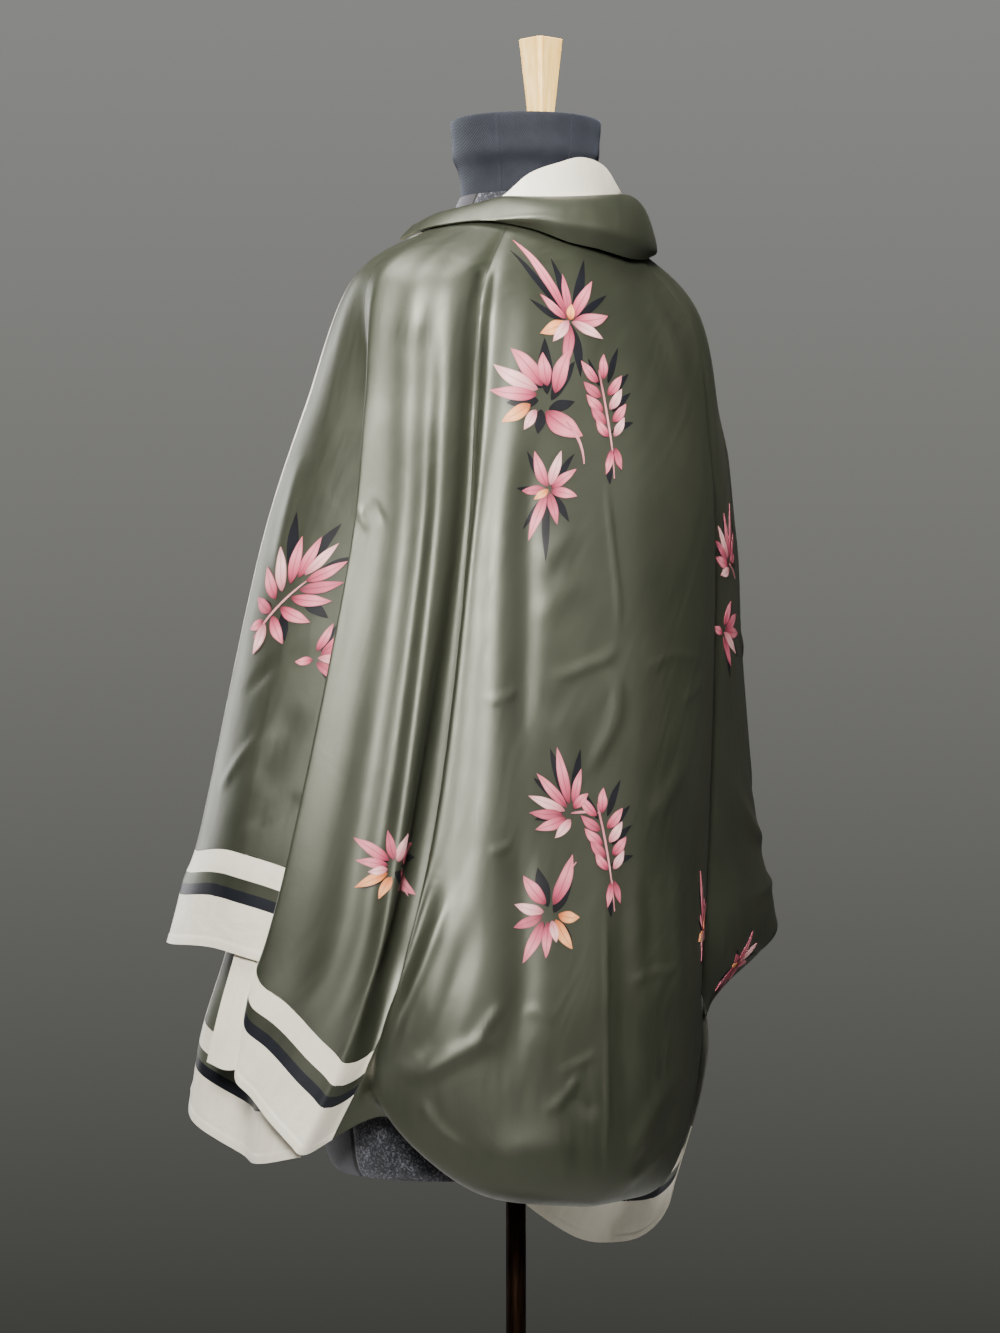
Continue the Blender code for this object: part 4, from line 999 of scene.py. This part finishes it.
def twillCloth():
    # matt navy-black cotton twill: fine diagonal ribs and a little wear
    made, tree, shader = newMaterial("navy_cotton_twill", {"Roughness": .85, "Specular IOR Level": .25,
                                                           "Sheen Weight": .2, "Sheen Roughness": .5,
                                                           "Sheen Tint": linear("#8d94a3")})
    here = addNode(tree, "TexCoord").outputs["Object"]
    turned = addNode(tree, "Mapping", {"Rotation": (radians(28), radians(12), radians(35))}, {"Vector": here})
    ribs = addNode(tree, "TexWave", {"Scale": form["twillPerMetre"] / 6.283, "Distortion": 1.2, "Detail": 1},
                   {"Vector": turned.outputs[0]})
    wear = addNode(tree, "TexNoise", {"Scale": 55, "Detail": 5, "Roughness": .65}, {"Vector": here})
    both = addNode(tree, "Mix", {"data_type": "FLOAT", 0: .65},
                   {2: ribs.outputs["Fac"], 3: wear.outputs["Fac"]})
    tree.links.new(ramp(tree, both.outputs[0], [(.3, form["twill"][0]), (.52, form["twill"][1]),
                                                (.75, form["twill"][2])]), shader.inputs["Base Color"])
    bump = addNode(tree, "Bump", {"Strength": 1, "Distance": .0003}, {"Height": both.outputs[0]})
    tree.links.new(bump.outputs[0], shader.inputs["Normal"])
    return made


greyWool = wool("grey_melange_wool", form["wool"])
# a darker, warmer copy of the melange for the front half: brown tone plus painted shade on the form's side
shadedBrownWool = wool("brown_wool_painted_shade", form["frontWoolShaded"])
twill = twillCloth()

azimuth = aroundWithSeams(150, form["seams"], 1.0)
points, faces, around, rings = closedRings(formRings, azimuth, form["seams"], form["seamDepth"],
                                           form["seamWidth"], 7)
mid = np.concatenate([(azimuth + np.append(azimuth[1:], azimuth[0] + 360)) / 2])
# the front half, past the side seams, takes the wool with painted shade
front = np.abs((mid + 180) % 360 - 180) < form["sideSeam"]
panel = np.concatenate([np.repeat(front, rings - 1), front, front]).astype(int)
formBody = addMesh("form_body_wool", points, faces, [greyWool, shadedBrownWool], panel, None, 40)

azimuth = aroundWithSeams(96, form["neckSeams"], 1.4)
points, faces, around, rings = closedRings(neckRows, azimuth, form["neckSeams"], .0007, .0022, 5)
formNeck = addMesh("form_neck_twill", points, faces, [twill], None, None, 40)

placket = form["placket"]
across = np.linspace(0, 1, 26)[:, None]
up = np.linspace(1, 0, 30)[None, :]
table = np.array(neckRows[:7], float)
top = cubic(np.linspace(0, 1, 4), np.array(placket["top"]), across[:, 0])[:, None]
height = placket["foot"] + (top - placket["foot"]) * up
reach = np.interp(height, table[:, 0], table[:, 1]) + placket["lift"]
turn = np.radians(placket["from"] + (placket["to"] - placket["from"]) * across) + 0 * height
points = np.stack([reach * np.sin(turn), .0095 - reach * np.cos(turn), height], -1)
normals = np.stack([np.sin(turn), -np.cos(turn), 0 * turn], -1)
uv = np.stack([across * .035 + 0 * height, height - placket["foot"]], -1)
neckPlacket = addShell("neck_placket", points, normals, uv, (twill,), (twill,), placket["thickness"])
print("form built")

stand = {
    "wood": ("#cf9f4e", "#e2b767", "#efce8c"),
    "grainPerMetre": 240,
    "finialHeights": (1.5173, 1.5785), "finialSides": (.0155, .0265), "finialY": .0255, "finialTurn": 84.0,
    "poleRadius": .0077, "poleFoot": .0343, "poleTop": .7197,
    "baseProfile": [(0, 0), (.149, 0), (.1497, .0003), (.15, .001), (.15, .004), (.1494, .0054), (.148, .006),
                    (.026, .006), (.0245, .0063), (.0226, .0072), (.0208, .0088), (.02, .0105), (.02, .0305),
                    (.0196, .0326), (.0182, .034), (.0095, .034), (0, .034)],
}


def lathe(name, profile, around, material):
    # a profile of (radius, height) carried round Z, one fan at each end on the axis
    profile = np.array(profile, float)
    turn = np.arange(around)[:, None] * 2 * pi / around
    body = profile[1:-1]
    points = np.stack([body[:, 0] * np.sin(turn), -body[:, 0] * np.cos(turn), body[:, 1] + 0 * turn], -1)
    rings = len(body)
    grid = np.arange(around * rings).reshape(around, rings)
    after = np.roll(grid, -1, axis=0)
    walls = np.stack([grid[:, :-1], after[:, :-1], after[:, 1:], grid[:, 1:]], -1).reshape(-1, 4).tolist()
    walls += [[a, b, around * rings] for a, b in zip(after[:, 0].tolist(), grid[:, 0].tolist())]
    walls += [[a, b, around * rings + 1] for a, b in zip(grid[:, -1].tolist(), after[:, -1].tolist())]
    ends = np.array([(0, 0, profile[0, 1]), (0, 0, profile[-1, 1])])
    return addMesh(name, np.concatenate([points.reshape(-1, 3), ends]), walls, [material], None, None, 35)


def brushedMetal(name, tones, roughness, brushing):
    # metal with fine brushing round it and a little handling wear
    made, tree, shader = newMaterial(name, {"Metallic": 1, "Roughness": roughness})
    here = addNode(tree, "TexCoord").outputs["Object"]
    drawn = addNode(tree, "Mapping", {"Scale": brushing}, {"Vector": here})
    lines = addNode(tree, "TexNoise", {"Scale": 1, "Detail": 3, "Roughness": .6},
                    {"Vector": drawn.outputs[0]})
    worn = addNode(tree, "TexNoise", {"Scale": 22, "Detail": 4, "Roughness": .6}, {"Vector": here})
    both = addNode(tree, "Mix", {"data_type": "FLOAT", 0: .5},
                   {2: lines.outputs["Fac"], 3: worn.outputs["Fac"]})
    tree.links.new(ramp(tree, both.outputs[0], [(.35, tones[0]), (.5, tones[1]), (.68, tones[2])]),
                   shader.inputs["Base Color"])
    rough = addNode(tree, "MapRange", {"From Min": .3, "From Max": .7, "To Min": roughness - .07,
                                       "To Max": roughness + .09}, {"Value": both.outputs[0]})
    tree.links.new(rough.outputs[0], shader.inputs["Roughness"])
    bump = addNode(tree, "Bump", {"Strength": .6, "Distance": .00008}, {"Height": lines.outputs["Fac"]})
    tree.links.new(bump.outputs[0], shader.inputs["Normal"])
    return made


def limewood():
    # pale sanded limewood: close straight grain up the block, a satin surface
    made, tree, shader = newMaterial("pale_limewood", {"Roughness": .6, "Specular IOR Level": .2})
    here = addNode(tree, "TexCoord").outputs["Object"]
    along = addNode(tree, "Mapping", {"Scale": (stand["grainPerMetre"], stand["grainPerMetre"], 14)},
                    {"Vector": here})
    grain = addNode(tree, "TexNoise", {"Scale": 1, "Detail": 4, "Roughness": .6, "Distortion": .4},
                    {"Vector": along.outputs[0]})
    tree.links.new(ramp(tree, grain.outputs["Fac"], [(.3, stand["wood"][0]), (.5, stand["wood"][1]),
                                                     (.7, stand["wood"][2])]), shader.inputs["Base Color"])
    bump = addNode(tree, "Bump", {"Strength": .5, "Distance": .00015}, {"Height": grain.outputs["Fac"]})
    tree.links.new(bump.outputs[0], shader.inputs["Normal"])
    return made


bronze = brushedMetal("bronzed_steel_tube", ("#1c120c", "#2b1d14", "#3d2b1f"), .36, (700, 700, 30))
steel = brushedMetal("blackened_steel_base", ("#26231f", "#34302b", "#443f39"), .42, (40, 40, 700))
corner = np.array([(-1, -.78), (-.78, -1), (.78, -1), (1, -.78), (1, .78), (.78, 1), (-.78, 1), (-1, .78)])
turn = radians(stand["finialTurn"])
spin = np.array([[np.cos(turn), np.sin(turn)], [-np.sin(turn), np.cos(turn)]])
low, high = stand["finialHeights"]
edge = .0007                     # eased arris at both ends
levels = [(low, -edge), (low + edge, 0), (high - edge, 0), (high, -edge)]
size = [stand["finialSides"][0] / 2 + (stand["finialSides"][1] - stand["finialSides"][0]) / 2
        * (z - low) / (high - low) + ease for z, ease in levels]
points = np.concatenate([np.column_stack([corner @ spin * half + (0, stand["finialY"]), np.full(8, z)])
                         for half, (z, ease) in zip(size, levels)])
faces = [list(range(7, -1, -1)), list(range(24, 32))]
faces += [[8 * k + i, 8 * k + (i + 1) % 8, 8 * k + 8 + (i + 1) % 8, 8 * k + 8 + i]
          for k in range(3) for i in range(8)]
finial = addMesh("finial_limewood", points, faces, [limewood()], None, None, 12)
r, foot, topZ = stand["poleRadius"], stand["poleFoot"], stand["poleTop"]
pole = lathe("pole_tube", [(0, foot), (r - .0008, foot), (r, foot + .0008), (r, .25), (r, .5),
                           (r, topZ - .0008), (r - .0008, topZ), (0, topZ)], 48, bronze)
base = lathe("base_plate", stand["baseProfile"], 128, steel)
print("stand built")

# Camera, light and floor

studio = {
    "cameraAzimuth": 132.0, "cameraDistance": 2.8, "cameraHeight": 1.099, "sideStep": -.0123,
    "lens": 98.3,
    # backdrop seen by the camera: dark at the bottom to pale at the top, painted shade
    "backdrop": ("#262724", "#767672", "#8f8f8e"), "fillLight": "#28282a",
    "floor": "#e2e1df",
    # name, azimuth, distance, height, aim height, width, tall, spread in degrees, watts
    "lights": [
        ("key", 128, 2.6, 2.40, 1.56, .5, 1.5, 38, 21),
        ("top", 112, .65, 3.1, 1.40, 1.2, 1.0, 180, 72),
        ("rim", 12, 2.4, 1.7, 1.20, 1.3, 1.7, 180, 56),
        ("right", 192, 3.0, 2.2, 1.25, .8, 1.5, 180, 12),
    ],
}


def aim(thing, target):
    # point -Z at the target with Y up
    away = np.array(thing.location) - np.array(target)
    thing.rotation_mode = "QUATERNION"
    thing.rotation_quaternion = (-Vector(away)).to_track_quat("-Z", "Y")


cameraData = bpy.data.cameras.new("camera")
cameraData.lens, cameraData.sensor_width = studio["lens"], 36
camera = bpy.data.objects.new("camera", cameraData)
bpy.context.scene.collection.objects.link(camera)
bpy.context.scene.camera = camera
turn = radians(studio["cameraAzimuth"])
outward = np.array([np.sin(turn), -np.cos(turn), 0])
rightward = np.array([np.cos(turn), np.sin(turn), 0])
camera.location = (outward * studio["cameraDistance"] + rightward * studio["sideStep"]
                   + (0, 0, studio["cameraHeight"]))
aim(camera, np.array(camera.location) - outward)

for name, azimuth, distance, height, aimHeight, wide, tall, spread, watts in studio["lights"]:
    lamp = bpy.data.lights.new(name, "AREA")
    lamp.shape, lamp.size, lamp.size_y, lamp.energy = "RECTANGLE", wide, tall, watts
    lamp.spread = radians(spread)
    light = bpy.data.objects.new(name, lamp)
    bpy.context.scene.collection.objects.link(light)
    light.location = polar(np.array(azimuth), distance, height)
    aim(light, (0, 0, aimHeight))

world = bpy.data.worlds.new("studio")
bpy.context.scene.world = world
world.use_nodes = True
air = world.node_tree.nodes["Background"]
seen = addNode(world.node_tree, "LightPath")
air.inputs["Strength"].default_value = 1
# the camera sees the backdrop darker towards the bottom, painted shade; other rays see the even fill light
way = addNode(world.node_tree, "TexCoord").outputs["Generated"]
rise = addNode(world.node_tree, "SeparateXYZ", links={"Vector": way})
level = addNode(world.node_tree, "MapRange", {"From Min": -.25, "From Max": .25},
                {"Value": rise.outputs["Z"]})
shadedBackdrop = ramp(world.node_tree, level.outputs[0], zip((.02, .55, .95), studio["backdrop"]))
tone = addNode(world.node_tree, "Mix", {"data_type": "RGBA", 6: linear(studio["fillLight"])},
               {0: seen.outputs["Is Camera Ray"], 7: shadedBackdrop})
world.node_tree.links.new(tone.outputs[2], air.inputs["Color"])

floorMaterial = newMaterial("pale_floor", {"Base Color": linear(studio["floor"]), "Roughness": .8})[0]
turn = np.arange(96) * 2 * pi / 96
disc = np.stack([1.6 * np.sin(turn), -1.6 * np.cos(turn), 0 * turn - .0005], -1)
floor = addMesh("floor", disc, [list(range(96))], [floorMaterial])
floor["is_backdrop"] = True
print("studio ready")

# What stands for what

for made, node, slotName in ((formBody, "form_body", "form_cloth"), (formNeck, "form_neck", "neck_cloth"),
                             (finial, "finial", "pale_wood"), (pole, "pole", "pole_bronze"),
                             (base, "base", "base_steel")):
    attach(made, "root")
    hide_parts(node)
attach(neckPlacket, "root")

for name, piece in pieces.items():
    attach(piece["object"], "root")
    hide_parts(name)

# each stretch's flat width, length and area, measured along its modelled cloth, are printed as its piece is
# built; here the printed flowers are attached
for made in prints.values():
    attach(made, "root")

low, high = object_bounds()
